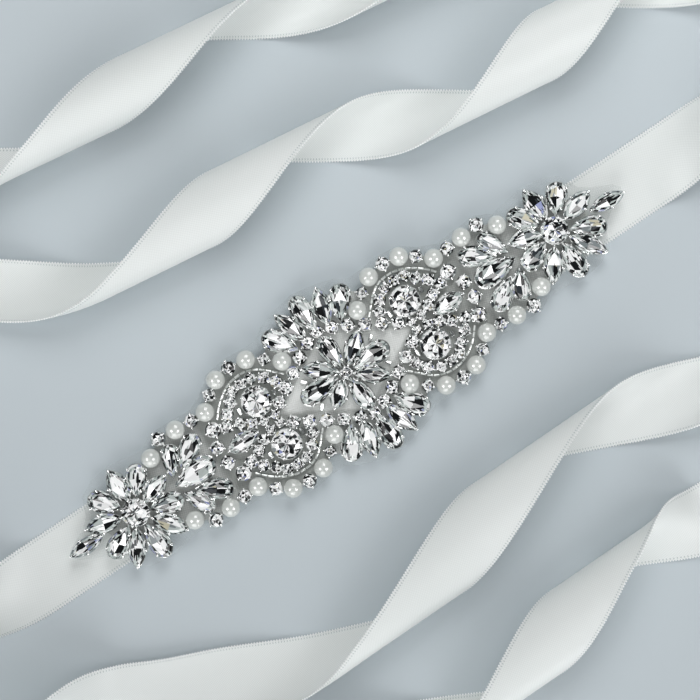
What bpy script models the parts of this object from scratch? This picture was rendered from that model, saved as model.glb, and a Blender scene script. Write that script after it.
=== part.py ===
"""Bridal sash: a satin ribbon laid in loose turns, with a crystal and pearl applique sewn to its middle.

X runs along the applique, Y across it, Z up. The origin is on the surface under the applique's middle.
Tables are in millimetres and degrees. Everything is turned to metres as the meshes are made.
"""

from math import atan2, ceil, cos, hypot, radians, sin, tau

import bpy
import numpy as np
from mathutils import Vector
from mathutils.geometry import delaunay_2d_cdt

MM = 0.001

# ---------------------------------------------------------------- ribbon sizes
RIBBON_WIDTH = 25.0
RIBBON_WALL = 1.0
ACROSS = 4
STEP_WOUND = 6.5
STEP_FLAT = 30.0
PROBE = 0.4
STRETCH_GAP = 0.3
HALF_MIDDLE = 124.0
LAST_LEG = 1000.0

# The ribbon lies a little askew under the applique.
RIBBON_SET_Y = -1.2
RIBBON_SET_ANGLE = 0.7

# Each tail runs along straight legs joined by round bends.
# Leg columns: name, x and y of a point on its line, heading of travel.
# Bend columns: x where it leaves the leg before it, turn (+1 left, -1 right).
LEFT_LEGS = (
    ("out", 0.0, RIBBON_SET_Y, 180.0 + RIBBON_SET_ANGLE),
    ("climb", -200.0, 60.0, 65.0),
    ("low", -85.8, 89.5, -33.5),
    ("back", -42.0, 76.7, -6.9),
    ("end", 22.8, 119.0, 172.5),
)
LEFT_BENDS = ((-195.0, -1), (-183.0, -1), (-88.0, 1), (214.0, 1))
RIGHT_LEGS = (
    ("out", 0.0, RIBBON_SET_Y, RIBBON_SET_ANGLE),
    ("back", 48.4, -70.8, 181.4),
    ("low", -120.5, -59.0, 157.0),
    ("end", 13.7, -115.8, 1.5),
)
RIGHT_BENDS = ((250.0, -1), (-56.0, -1), (-172.0, 1))

# How the ribbon winds round its leg. Columns: leg, x on that leg, quarter turns made so far
# (0 over the top, 1 left edge, 2 on the surface, 3 right edge), curl (0 straight across, 1 wound),
# half width and half height of the winding. A half width under zero swings the ribbon the other way.
LEFT_WINDING = (
    ("out", -100.0, 2.0, 0.0, 0.0, 9.5),
    ("out", -123.0, 2.0, 0.0, 0.0, 9.5),
    ("out", -186.0, 3.0, 0.0, 0.0, 9.5),
    ("low", -122.0, 3.0, 0.0, 0.0, 9.5),
    ("low", -92.0, 2.0, 1.0, 12.0, 9.5),
    ("back", -42.0, 3.0, 1.0, 12.0, 9.5),
    ("back", 25.4, 5.0, 1.0, 12.0, 9.5),
    ("back", 92.8, 7.0, 1.0, 12.0, 9.5),
    ("back", 149.4, 9.0, 1.0, 12.0, 9.5),
    ("back", 181.0, 10.0, 1.0, 12.0, 9.5),
    ("back", 212.0, 11.0, 0.0, 12.0, 9.5),
    ("end", 200.0, 11.0, 0.0, 10.9, 11.0),
    ("end", 152.0, 12.0, 1.0, 10.9, 11.0),
    ("end", 107.0, 13.0, 1.0, 10.9, 11.0),
    ("end", 65.0, 14.0, 1.0, 10.9, 11.0),
    ("end", 27.0, 15.0, 1.0, 10.9, 11.0),
    ("end", -10.0, 16.0, 1.0, 10.9, 11.0),
    ("end", -47.0, 17.0, 1.0, 10.9, 11.0),
    ("end", -90.0, 18.0, 0.0, 10.9, 11.0),
    ("end", -210.0, 18.0, 0.0, 10.9, 11.0),
)
RIGHT_WINDING = (
    ("out", 100.0, 2.0, 0.0, 0.0, 9.8),
    ("out", 123.0, 2.0, 0.0, 0.0, 9.8),
    ("out", 186.0, 3.0, 0.0, -10.0, 9.8),
    ("back", 210.0, 3.0, 0.0, 14.9, 9.8),
    ("back", 170.0, 4.0, 1.0, 14.4, 9.8),
    ("back", 131.0, 5.0, 1.0, 14.4, 9.8),
    ("back", 88.4, 6.0, 1.0, 14.4, 9.8),
    ("back", 45.0, 7.0, 1.0, 14.4, 9.8),
    ("back", -42.2, 9.0, 1.0, 14.4, 9.8),
    ("low", -98.0, 10.0, 0.6, 14.9, 9.8),
    ("low", -128.0, 10.1, 0.0, 6.0, 9.8),
    ("low", -170.0, 11.0, 0.0, 0.0, 9.8),
    ("end", -166.0, 11.0, 0.0, 13.0, 9.8),
    ("end", -130.0, 12.0, 1.0, 13.0, 9.8),
    ("end", -94.0, 13.0, 1.0, 13.0, 9.8),
    ("end", -58.0, 14.0, 1.0, 13.0, 9.8),
    ("end", -24.0, 15.0, 1.0, 12.6, 9.8),
    ("end", 10.0, 16.0, 1.0, 12.6, 9.8),
    ("end", 43.4, 17.0, 1.0, 12.6, 9.8),
    ("end", 84.0, 18.0, 0.0, 12.6, 9.8),
    ("end", 140.0, 18.0, 0.0, 13.0, 9.8),
)

# Stretches of each tail, in order. Columns: node, leg and x where it ends.
LEFT_STRETCHES = (
    ("ribbon_left_bend", "low", -114.0),
    ("ribbon_upper_run", "back", 212.0),
    ("ribbon_upper_bend", "end", 200.0),
    ("ribbon_upper_tail", "end", -210.0),
)
RIGHT_STRETCHES = (
    ("ribbon_right_bend", "back", 210.0),
    ("ribbon_lower_run", "low", -128.0),
    ("ribbon_lower_bend", "end", -166.0),
    ("ribbon_lower_tail", "end", 140.0),
)

# ------------------------------------------------------------- applique sizes
# The applique is laid out on level axes, then set down slightly askew.
APPLIQUE_Y = -0.6
SKEW_X_BY_Y = -0.047
SKEW_Y_BY_X = 0.017

BACKING_LOW = 1.3
BACKING_TOP = 2.3
PLATE_LOW = 2.6
PLATE_TOP = 3.6
PAD_TOP = 4.8

STONE_FIT = 0.95
PLATE_MARGIN = 0.3

# Petals of the end flower. Columns: cut, angle, radius at root, radius at tip, width.
END_FLOWER_AT = (88.3, 0.4)
END_FLOWER_CENTRE = 9.6
END_PETALS = (
    ("navette", 15.0, 6.4, 18.4, 6.0),
    ("pear", 52.0, 6.6, 17.2, 6.8),
    ("navette", 92.0, 5.8, 17.6, 6.4),
    ("pear", 126.0, 6.6, 17.2, 6.6),
    ("navette", 162.0, 5.8, 16.8, 6.0),
    ("pear", 198.0, 6.2, 17.2, 6.4),
    ("navette", 233.0, 7.0, 19.0, 6.2),
    ("pear", 268.0, 6.2, 18.8, 6.6),
    ("navette", 303.0, 6.8, 19.6, 5.8),
    ("pear", 332.0, 6.6, 18.0, 6.8),
    ("navette", 0.0, 15.4, 27.6, 5.0),
)
END_HUB = 8.4
HUB_SIDES = 20
END_TIP_WEB = ((4.0, -1.0), (17.5, -1.0), (17.5, 1.0), (4.0, 1.0))

# Petals of the middle flower, same columns.
MIDDLE_CENTRE = 3.6
MIDDLE_HUB = 6.6
MIDDLE_PETALS = (
    ("pear", 0.0, 4.4, 17.6, 6.8),
    ("navette", 38.0, 3.8, 16.0, 5.8),
    ("pear", 91.0, 3.0, 15.2, 6.2),
    ("navette", 142.0, 3.8, 15.6, 5.8),
    ("pear", 180.0, 4.4, 18.2, 6.8),
    ("navette", 218.0, 3.8, 13.6, 5.6),
    ("pear", 271.0, 3.0, 15.2, 6.2),
    ("navette", 322.0, 3.8, 15.8, 5.6),
)

# Stones given by their two ends. Columns: cut, x and y of the root, x and y of the tip, width.
# A pear is round at its tip end.
FAN_STONES = (
    ("pear", 0.0, 19.3, 0.0, 32.1, 6.6),
    ("navette", 5.1, 18.6, 8.6, 30.4, 6.0),
    ("pear", 9.6, 17.0, 16.3, 26.8, 6.8),
    ("navette", -5.1, 18.6, -8.6, 30.4, 6.0),
    ("pear", -9.6, 17.0, -16.3, 26.8, 6.8),
)
FAN_WEB = (
    (-13.0, 19.8), (-9.6, 17.6), (-4.0, 19.6), (4.0, 19.6),
    (9.6, 17.6), (13.0, 19.8), (9.0, 23.0), (-9.0, 23.0),
)
CLUSTER_STONES = (
    ("pear", 70.3, 0.3, 55.4, 0.3, 7.8),
    ("pear", 65.4, 5.2, 55.6, 11.6, 6.6),
    ("pear", 65.4, -5.2, 55.6, -11.6, 6.6),
    ("pear", 70.0, 4.3, 65.1, 13.7, 5.8),
    ("pear", 70.0, -4.3, 65.1, -13.7, 5.8),
)
CLUSTER_WEB = ((60.0, -8.0), (68.6, -8.0), (68.6, 8.0), (60.0, 8.0))

# Scroll: its pad's outline from the chain round to the middle line, for Y > 0.
SCROLL_EDGE = (
    (31.4, 0.0), (31.4, 2.6), (30.0, 3.4), (24.6, 6.8), (19.4, 10.0), (19.5, 13.2), (21.2, 16.4),
    (25.0, 19.0), (29.0, 20.2), (33.0, 20.5), (36.6, 19.7), (40.2, 17.8), (43.4, 15.4), (45.4, 12.6),
    (49.0, 11.5), (51.8, 10.0), (52.7, 7.0), (53.9, 4.4), (54.1, 0.0),
)
SCROLL_ROUND = (31.3, 9.2, 10.6)
SCROLL_NAVETTE = ("navette", 38.4, 0.0, 49.4, 0.0, 6.0)

# Border for X > 0 and Y > 0. Columns: kind, x, y, diameter.
PEARL = 6.7
BORDER = (
    ("pearl", 15.9, 15.8, PEARL),
    ("round", 20.7, 19.9, 4.2),
    ("pearl", 25.9, 23.3, PEARL),
    ("round", 32.5, 24.4, 5.0),
    ("pearl", 38.6, 23.3, PEARL),
    ("round", 43.6, 20.1, 4.6),
    ("pearl", 48.2, 16.0, PEARL),
    ("round", 54.0, 16.2, 4.8),
    ("pearl", 60.3, 16.7, PEARL),
    ("round", 67.1, 17.4, 5.2),
    ("pearl", 73.0, 13.3, PEARL),
)
BORDER_WEB_HALF = 1.1

# Chain round the bare net, for X > 0 and Y > 0, from the Y axis to the X axis.
CHAIN_PATH = (
    (0.0, 17.2), (5.0, 15.9), (10.2, 13.2), (15.2, 10.0), (20.4, 6.7), (25.1, 3.9), (28.4, 1.5),
    (29.6, 0.0),
)
CHAIN_HALF_WIDTH = 1.4
CHAIN_CREST = 0.6
CHAIN_TOP = 4.6

# Outline of the backing for Y > 0, from the left tip to the right tip.
BACKING_EDGE = (
    (117.0, 0.0), (115.0, 2.6), (108.5, 5.6), (104.5, 8.6), (101.4, 15.6), (95.5, 18.4), (88.0, 19.6),
    (80.5, 18.4), (74.5, 17.6), (69.0, 20.6), (60.3, 20.4), (52.5, 19.8), (46.6, 22.4), (40.8, 26.8),
    (32.5, 28.0), (24.4, 27.2), (19.5, 27.2), (15.5, 29.8), (8.6, 32.0), (0.0, 33.6),
)

# ------------------------------------------------------------------ materials
# Columns: linear red, green, blue, roughness, metallic.
FINISHES = {
    "satin": (0.80, 0.81, 0.82, 0.38, 0.0),
    "net": (0.62, 0.64, 0.62, 0.75, 0.0),
    "crystal": (0.82, 0.84, 0.86, 0.12, 0.6),
    "pearl": (0.86, 0.86, 0.80, 0.25, 0.0),
}


def clear_scene():
    for old in list(bpy.data.objects):
        bpy.data.objects.remove(old, do_unlink=True)


def finish_material(name, finish):
    red, green, blue, rough, metal = FINISHES[finish]
    material = bpy.data.materials.new(f"{name}_{finish}")
    material.use_nodes = True
    shader = material.node_tree.nodes["Principled BSDF"]
    shader.inputs["Base Color"].default_value = (red, green, blue, 1.0)
    shader.inputs["Roughness"].default_value = rough
    shader.inputs["Metallic"].default_value = metal
    material.diffuse_color = (red, green, blue, 1.0)
    return material


def add_object(name, points, faces, finish):
    """Make one named object from points in millimetres."""
    mesh = bpy.data.meshes.new(name)
    mesh.from_pydata([(x * MM, y * MM, z * MM) for x, y, z in points], [], faces)
    mesh.update()
    obj = bpy.data.objects.new(name, mesh)
    bpy.context.scene.collection.objects.link(obj)
    mesh.materials.append(finish_material(name, finish))
    return obj


# --------------------------------------------------------------- ribbon track
def left_of(heading):
    return (-sin(heading), cos(heading))


class Track:
    """Straight legs and round bends, measured by the length travelled from the origin."""

    def __init__(self, legs, bends):
        self.pieces = []
        self.leg_at = {}
        x, y = legs[0][1], legs[0][2]
        travelled = 0.0
        for index, (name, _, _, heading_deg) in enumerate(legs):
            heading = radians(heading_deg)
            if index < len(bends):
                length = (bends[index][0] - x) / cos(heading)
            else:
                length = LAST_LEG
            self.pieces.append((travelled, length, x, y, heading, 0.0))
            self.leg_at[name] = (travelled, x, heading)
            travelled += length
            x += length * cos(heading)
            y += length * sin(heading)
            if index < len(bends):
                side = bends[index][1]
                _, next_x, next_y, next_deg = legs[index + 1]
                turn = (side * (radians(next_deg) - heading)) % tau
                nx, ny = left_of(radians(next_deg))
                lx, ly = left_of(heading)
                swing_x = sin(turn) * cos(heading) + side * (1.0 - cos(turn)) * lx
                swing_y = sin(turn) * sin(heading) + side * (1.0 - cos(turn)) * ly
                off_line = (x - next_x) * nx + (y - next_y) * ny
                radius = -off_line / (swing_x * nx + swing_y * ny)
                self.pieces.append((travelled, radius * turn, x, y, heading, side / radius))
                travelled += radius * turn
                x += radius * swing_x
                y += radius * swing_y

    def place(self, leg, at_x):
        """Length travelled at x on a leg."""
        start, x, heading = self.leg_at[leg]
        return start + (at_x - x) / cos(heading)

    def at(self, travelled):
        """Point and heading after a length of travel."""
        piece = self.pieces[0]
        for candidate in self.pieces:
            if candidate[0] <= travelled:
                piece = candidate
        start, _, x, y, heading, bend = piece
        gone = travelled - start
        if bend == 0.0:
            return x + gone * cos(heading), y + gone * sin(heading), heading
        turned = heading + gone * bend
        x += (sin(turned) - sin(heading)) / bend
        y -= (cos(turned) - cos(heading)) / bend
        return x, y, turned


def smooth_slopes(places, values):
    """Slopes of a curve through the rows that never overshoots them."""
    steps = [(values[i + 1] - values[i]) / (places[i + 1] - places[i]) for i in range(len(places) - 1)]
    slopes = [steps[0]]
    for before, after in zip(steps[:-1], steps[1:]):
        if before * after <= 0.0:
            slopes.append(0.0)
        else:
            slopes.append(2.0 * before * after / (before + after))
    slopes.append(steps[-1])
    return slopes


class Winding:
    """Turns, curl and size of the winding at any length along a track."""

    def __init__(self, track, rows):
        self.places = [track.place(row[0], row[1]) for row in rows]
        self.columns = [[row[column] for row in rows] for column in range(2, 6)]
        self.slopes = [smooth_slopes(self.places, column) for column in self.columns]

    def read(self, travelled, column):
        places = self.places
        travelled = min(max(travelled, places[0]), places[-1])
        row = min(int(np.searchsorted(places, travelled, side="right")) - 1, len(places) - 2)
        span = places[row + 1] - places[row]
        share = (travelled - places[row]) / span
        start, end = self.columns[column][row:row + 2]
        leave, arrive = self.slopes[column][row:row + 2]
        rise = share * share * (3.0 - 2.0 * share)
        value = start + (end - start) * rise
        value += span * share * (1.0 - share) * (leave * (1.0 - share) - arrive * share)
        return value


ARC_SAMPLES = 96


def oval_arc(half_width, half_height):
    """Length round an oval at even angles, from the top."""
    angles = np.linspace(0.0, tau, ARC_SAMPLES + 1)
    speed = np.hypot(half_width * np.cos(angles), half_height * np.sin(angles))
    pieces = (speed[1:] + speed[:-1]) * 0.5 * (tau / ARC_SAMPLES)
    return angles, np.concatenate(([0.0], np.cumsum(pieces)))


def ribbon_point(track, winding, travelled, across):
    """Point of the ribbon's middle surface, a distance across from its centre line."""
    quarters = winding.read(travelled, 0)
    curl = winding.read(travelled, 1)
    half_width = winding.read(travelled, 2)
    half_height = winding.read(travelled, 3)
    rate = (winding.read(travelled + PROBE, 0) - winding.read(travelled - PROBE, 0)) / (2.0 * PROBE)
    angles, arc = oval_arc(half_width, half_height)
    girth = arc[-1]
    slope = atan2(curl * girth * 0.25 * rate, 1.0)
    along = across * sin(slope)
    round_it = across * cos(slope)
    x, y, heading = track.at(travelled + along)
    turned = 0.25 * tau * quarters
    wrapped = np.interp((quarters * 0.25 * girth - round_it) % girth, arc, angles)
    wound_v = half_width * sin(wrapped)
    wound_z = half_height * (1.0 + cos(wrapped))
    straight_v = half_width * sin(turned) - round_it * cos(turned)
    straight_z = 0.5 * RIBBON_WIDTH * cos(slope) * abs(sin(turned)) + round_it * sin(turned)
    v = curl * wound_v + (1.0 - curl) * straight_v
    z = curl * wound_z + (1.0 - curl) * straight_z
    nx, ny = left_of(heading)
    return Vector((x + v * nx, y + v * ny, z + 0.5 * RIBBON_WALL))


def ribbon_section(track, winding, travelled):
    """Upper and lower points of one section, from its right edge to its left."""
    outer = []
    inner = []
    for index in range(ACROSS + 1):
        across = RIBBON_WIDTH * (index / ACROSS - 0.5)
        centre = ribbon_point(track, winding, travelled, across)
        ahead = ribbon_point(track, winding, travelled + PROBE, across)
        behind = ribbon_point(track, winding, travelled - PROBE, across)
        left = ribbon_point(track, winding, travelled, across + PROBE)
        right = ribbon_point(track, winding, travelled, across - PROBE)
        normal = (ahead - behind).cross(left - right).normalized()
        outer.append(centre + normal * 0.5 * RIBBON_WALL)
        inner.append(centre - normal * 0.5 * RIBBON_WALL)
    return outer + inner[::-1]


def section_places(winding, start, end):
    """Lengths of travel of the sections: close where the ribbon winds or bends, wide where it lies flat."""
    keys = [start]
    keys += [place for place in winding.places if start + 1.0 < place < end - 1.0]
    keys.append(end)
    places = [start]
    for low, high in zip(keys[:-1], keys[1:]):
        middle = 0.5 * (low + high)
        lies_flat = abs(winding.read(middle, 0) % 4.0 - 2.0) < 0.001
        longest = STEP_FLAT if lies_flat else STEP_WOUND
        count = max(1, ceil((high - low) / longest))
        places += [low + (high - low) * (index + 1) / count for index in range(count)]
    return places


def ribbon_mesh(name, sections):
    """Close a row of sections into one wall, with the same diagonals on both sides of the cloth."""
    ring = len(sections[0])
    points = [point for section in sections for point in section]
    faces = []
    for row in range(len(sections) - 1):
        for column in range(ring):
            following = (column + 1) % ring
            low = row * ring
            high = low + ring
            if column < ACROSS:
                faces.append((low + column, high + column, high + following))
                faces.append((low + column, high + following, low + following))
            else:
                faces.append((low + column, high + column, low + following))
                faces.append((high + column, high + following, low + following))
    last = (len(sections) - 1) * ring
    for column in range(ACROSS):
        under = ring - 1 - column
        faces.append((column, column + 1, under - 1, under))
        faces.append((last + column, last + under, last + under - 1, last + column + 1))
    return add_object(name, points, faces, "satin")


def ribbon_stretches(legs, bends, rows, stretches):
    track = Track(legs, bends)
    winding = Winding(track, rows)
    start = HALF_MIDDLE + STRETCH_GAP
    for name, leg, at_x in stretches:
        end = track.place(leg, at_x)
        places = section_places(winding, start, end)
        sections = [ribbon_section(track, winding, place) for place in places]
        ribbon_mesh(name, sections)
        start = end + STRETCH_GAP


def ribbon_middle():
    """The flat stretch, as two sections of the right tail's track."""
    track = Track(RIGHT_LEGS, RIGHT_BENDS)
    winding = Winding(track, RIGHT_WINDING)
    sections = [ribbon_section(track, winding, place) for place in (-HALF_MIDDLE, HALF_MIDDLE)]
    ribbon_mesh("ribbon_middle", sections)


# --------------------------------------------------------------- stone shapes
# Outlines of a stone of length 1 and width 1, from the tip end round to the left.
NAVETTE_OUTLINE = (
    (0.5, 0.0), (0.3, 0.32), (0.0, 0.5), (-0.3, 0.32),
    (-0.5, 0.0), (-0.3, -0.32), (0.0, -0.5), (0.3, -0.32),
)
PEAR_OUTLINE = (
    (0.5, 0.0), (0.38, 0.37), (0.14, 0.5), (-0.2, 0.30),
    (-0.5, 0.0), (-0.2, -0.30), (0.14, -0.5), (0.38, -0.37),
)
ROUND_SIDES = 8

# Height above the plate of each ring of a stone, with its size. Columns: size, height.
CUT_PROFILE = ((0.98, 0.0), (0.93, 2.2), (0.55, 4.0))
ROUND_PROFILE = ((0.98, 0.0), (0.93, 2.2), (0.55, 3.6))
LARGE_PROFILE = ((0.98, 0.0), (0.93, 2.8), (0.6, 5.0))
PAD_PROFILE = ((0.98, 0.0), (0.93, 1.4), (0.55, 2.8))
PEARL_PROFILE = ((0.98, 0.0), (0.95, 2.6), (0.62, 5.0), (0.22, 5.7))


def skewed(x, y):
    """Set a point of the level layout down where it lies."""
    return x + SKEW_X_BY_Y * y, y + SKEW_Y_BY_X * x + APPLIQUE_Y


def stone_between(cut, root_x, root_y, tip_x, tip_y, width):
    """Outline of a pear or navette between its two ends."""
    unit = PEAR_OUTLINE if cut == "pear" else NAVETTE_OUTLINE
    middle_x = 0.5 * (root_x + tip_x)
    middle_y = 0.5 * (root_y + tip_y)
    length = hypot(tip_x - root_x, tip_y - root_y)
    angle = atan2(tip_y - root_y, tip_x - root_x)
    outline = []
    for along, aside in unit:
        u = along * length * STONE_FIT
        v = aside * width * STONE_FIT
        x = middle_x + u * cos(angle) - v * sin(angle)
        y = middle_y + u * sin(angle) + v * cos(angle)
        outline.append((x, y))
    return outline


def stone_from_hub(hub, cut, angle_deg, root, tip, width):
    dx = cos(radians(angle_deg))
    dy = sin(radians(angle_deg))
    x, y = hub
    return stone_between(cut, x + root * dx, y + root * dy, x + tip * dx, y + tip * dy, width)


def regular_outline(x, y, radius, sides):
    angles = [tau * (k + 0.5) / sides for k in range(sides)]
    return [(x + radius * cos(angle), y + radius * sin(angle)) for angle in angles]


def round_outline(x, y, diameter):
    return regular_outline(x, y, 0.5 * diameter * STONE_FIT, ROUND_SIDES)


def centre_of(outline):
    return (sum(x for x, _ in outline) / len(outline), sum(y for _, y in outline) / len(outline))


def scaled(outline, size):
    cx, cy = centre_of(outline)
    return [(cx + (x - cx) * size, cy + (y - cy) * size) for x, y in outline]


def grown(outline, margin):
    """Move each corner of a convex outline outward from its centre."""
    cx, cy = centre_of(outline)
    moved = []
    for x, y in outline:
        reach = hypot(x - cx, y - cy)
        moved.append((cx + (x - cx) * (reach + margin) / reach, cy + (y - cy) * (reach + margin) / reach))
    return moved


def mirrored(outline, side_x, side_y):
    flipped = [(side_x * x, side_y * y) for x, y in outline]
    return flipped[::-1] if side_x * side_y < 0 else flipped


# --------------------------------------------------------------- raised plate
def loop_edges(first, count):
    return [(first + k, first + (k + 1) % count) for k in range(count)]


def outer_boundary(outlines):
    """Outer edge of the area that some overlapping outlines cover, anticlockwise."""
    points = [Vector(point) for outline in outlines for point in outline]
    areas = []
    first = 0
    for outline in outlines:
        areas.append(list(range(first, first + len(outline))))
        first += len(outline)
    verts, _, faces, _, _, _ = delaunay_2d_cdt(points, [], areas, 1, 0.01)
    following = {}
    used = {(a, b) for face in faces for a, b in zip(face, list(face[1:]) + [face[0]])}
    for a, b in used:
        if (b, a) not in used:
            following[a] = b
    loops = []
    while following:
        start = next(iter(following))
        loop = []
        vertex = start
        while vertex in following:
            loop.append(vertex)
            vertex = following.pop(vertex)
        loops.append([tuple(verts[index]) for index in loop])
    largest = max(loops, key=lambda loop: abs(signed_area(loop)))
    return largest if signed_area(largest) > 0 else largest[::-1]


def signed_area(loop):
    return 0.5 * sum(ax * by - bx * ay for (ax, ay), (bx, by) in zip(loop, loop[1:] + loop[:1]))


SHORTEST_EDGE = 0.35
STRAIGHT_ENOUGH = 0.04


def simplified(loop):
    """Drop corners that are very close together or almost in line."""
    kept = list(loop)
    changed = True
    while changed and len(kept) > 8:
        changed = False
        for index in range(len(kept)):
            ax, ay = kept[index - 1]
            bx, by = kept[index]
            cx, cy = kept[(index + 1) % len(kept)]
            span = hypot(cx - ax, cy - ay)
            off_line = abs((cx - ax) * (by - ay) - (cy - ay) * (bx - ax)) / max(span, 0.001)
            if hypot(bx - ax, by - ay) < SHORTEST_EDGE or off_line < STRAIGHT_ENOUGH:
                kept.pop(index)
                changed = True
                break
    return kept


def inside(point, loop):
    x, y = point
    hit = False
    for (ax, ay), (bx, by) in zip(loop, loop[1:] + loop[:1]):
        if (ay > y) != (by > y) and x < (bx - ax) * (y - ay) / (by - ay) + ax:
            hit = not hit
    return hit


def fill_area(boundary, rings):
    """Triangles inside a boundary that keep every ring's edges, with the points' input numbers."""
    points = [Vector(point) for point in boundary]
    edges = loop_edges(0, len(boundary))
    for ring in rings:
        edges += loop_edges(len(points), len(ring))
        points += [Vector(point) for point in ring]
    verts, _, faces, sources, _, _ = delaunay_2d_cdt(points, edges, [], 0, 0.0001)
    kept = []
    for face in faces:
        middle = (sum(verts[v][0] for v in face) / 3.0, sum(verts[v][1] for v in face) / 3.0)
        if inside(middle, boundary):
            kept.append(tuple(face))
    return [tuple(vertex) for vertex in verts], kept, [source[0] for source in sources]


def raised_plate(name, boundary, stones, low, top, finish):
    """A plate with stones raised from its upper side, closed by a plain underside.

    Each stone is an outline with its profile of ring sizes and heights.
    """
    rings = []
    heights = [top] * len(boundary)
    for outline, profile in stones:
        for size, height in profile:
            rings.append(scaled(outline, size))
            heights += [top + height] * len(outline)
    verts, faces, sources = fill_area(boundary, rings)
    points = []
    for (x, y), source in zip(verts, sources):
        points.append((*skewed(x, y), heights[source]))
    rim = {source: index for index, source in enumerate(sources) if source < len(boundary)}
    low_verts, low_faces, low_sources = fill_area(boundary, [])
    first_low = len(points)
    for x, y in low_verts:
        points.append((*skewed(x, y), low))
    low_rim = {source: first_low + index for index, source in enumerate(low_sources)}
    faces += [tuple(first_low + v for v in face[::-1]) for face in low_faces]
    for start, end in loop_edges(0, len(boundary)):
        faces.append((rim[start], low_rim[start], low_rim[end], rim[end]))
    return add_object(name, points, faces, finish)


def plate_of_stones(name, stones, webs, finish):
    covers = [grown(outline, PLATE_MARGIN) for outline, _ in stones] + list(webs)
    boundary = simplified(outer_boundary(covers))
    return raised_plate(name, boundary, stones, PLATE_LOW, PLATE_TOP, finish)


# ------------------------------------------------------------ applique pieces
def end_flower(name, side):
    stones = [(round_outline(*END_FLOWER_AT, END_FLOWER_CENTRE), LARGE_PROFILE)]
    for cut, angle, root, tip, width in END_PETALS:
        stones.append((stone_from_hub(END_FLOWER_AT, cut, angle, root, tip, width), CUT_PROFILE))
    web = [(END_FLOWER_AT[0] + x, END_FLOWER_AT[1] + y) for x, y in END_TIP_WEB]
    hub = regular_outline(*END_FLOWER_AT, END_HUB, HUB_SIDES)
    placed = [(mirrored(outline, side, 1), profile) for outline, profile in stones]
    webs = [mirrored(web, side, 1), mirrored(hub, side, 1)]
    return plate_of_stones(name, placed, webs, "crystal")


def middle_flower():
    stones = [(round_outline(0.0, 0.0, MIDDLE_CENTRE), CUT_PROFILE)]
    for cut, angle, root, tip, width in MIDDLE_PETALS:
        stones.append((stone_from_hub((0.0, 0.0), cut, angle, root, tip, width), CUT_PROFILE))
    hub = regular_outline(0.0, 0.0, MIDDLE_HUB, HUB_SIDES)
    return plate_of_stones("flower_middle", stones, [hub], "crystal")


def fan(name, side):
    stones = [(mirrored(stone_between(*row), 1, side), CUT_PROFILE) for row in FAN_STONES]
    return plate_of_stones(name, stones, [mirrored(FAN_WEB, 1, side)], "crystal")


def cluster(name, side):
    stones = [(mirrored(stone_between(*row), side, 1), CUT_PROFILE) for row in CLUSTER_STONES]
    return plate_of_stones(name, stones, [mirrored(CLUSTER_WEB, side, 1)], "crystal")


def scroll(name, side):
    """A raised pad of small stones, with two large round stones and a navette standing from it."""
    upper = list(SCROLL_EDGE)
    lower = [(x, -y) for x, y in SCROLL_EDGE[-2:0:-1]]
    boundary = (upper + lower)[::-1]
    x, y, diameter = SCROLL_ROUND
    stones = [
        (round_outline(x, y, diameter), ROUND_PROFILE),
        (round_outline(x, -y, diameter), ROUND_PROFILE),
        (stone_between(*SCROLL_NAVETTE), PAD_PROFILE),
    ]
    placed = [(mirrored(outline, side, 1), profile) for outline, profile in stones]
    return raised_plate(name, mirrored(boundary, side, 1), placed, PLATE_LOW, PAD_TOP, "crystal")


def border(name, side_x, side_y):
    """Pearls and small round stones in a row, joined by a narrow web."""
    stones = []
    for kind, x, y, diameter in BORDER:
        profile = PEARL_PROFILE if kind == "pearl" else ROUND_PROFILE
        stones.append((mirrored(round_outline(x, y, diameter), side_x, side_y), profile))
    webs = []
    for (_, ax, ay, _), (_, bx, by, _) in zip(BORDER[:-1], BORDER[1:]):
        span = hypot(bx - ax, by - ay)
        px = -(by - ay) / span * BORDER_WEB_HALF
        py = (bx - ax) / span * BORDER_WEB_HALF
        web = [(ax - px, ay - py), (bx - px, by - py), (bx + px, by + py), (ax + px, ay + py)]
        webs.append(mirrored(web, side_x, side_y))
    return plate_of_stones(name, stones, webs, "pearl")


def chain_frame():
    """The closed chain round the bare net, as a square bar that follows its path."""
    path = list(CHAIN_PATH)
    path += [(x, -y) for x, y in CHAIN_PATH[-2::-1]]
    path += [(-x, -y) for x, y in CHAIN_PATH[1:]]
    path += [(-x, y) for x, y in CHAIN_PATH[-2:0:-1]]
    count = len(path)
    points = []
    for index, (x, y) in enumerate(path):
        ax, ay = path[index - 1]
        bx, by = path[(index + 1) % count]
        span = hypot(bx - ax, by - ay)
        ox = -(by - ay) / span * CHAIN_HALF_WIDTH
        oy = (bx - ax) / span * CHAIN_HALF_WIDTH
        outer_xy = skewed(x + ox, y + oy)
        inner_xy = skewed(x - ox, y - oy)
        outer_top = skewed(x + CHAIN_CREST * ox, y + CHAIN_CREST * oy)
        inner_top = skewed(x - CHAIN_CREST * ox, y - CHAIN_CREST * oy)
        points += [(*outer_xy, PLATE_LOW), (*outer_top, CHAIN_TOP)]
        points += [(*inner_top, CHAIN_TOP), (*inner_xy, PLATE_LOW)]
    faces = []
    for index in range(count):
        here = 4 * index
        there = 4 * ((index + 1) % count)
        for column in range(4):
            following = (column + 1) % 4
            faces.append((here + column, here + following, there + following, there + column))
    return add_object("chain_frame", points, faces, "crystal")


def backing():
    right = list(BACKING_EDGE)
    left = [(-x, y) for x, y in BACKING_EDGE[-2::-1]]
    upper = right + left
    lower = [(x, -y) for x, y in upper[-2:0:-1]]
    boundary = simplified(upper + lower)
    return raised_plate("applique_backing", boundary, [], BACKING_LOW, BACKING_TOP, "net")


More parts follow.
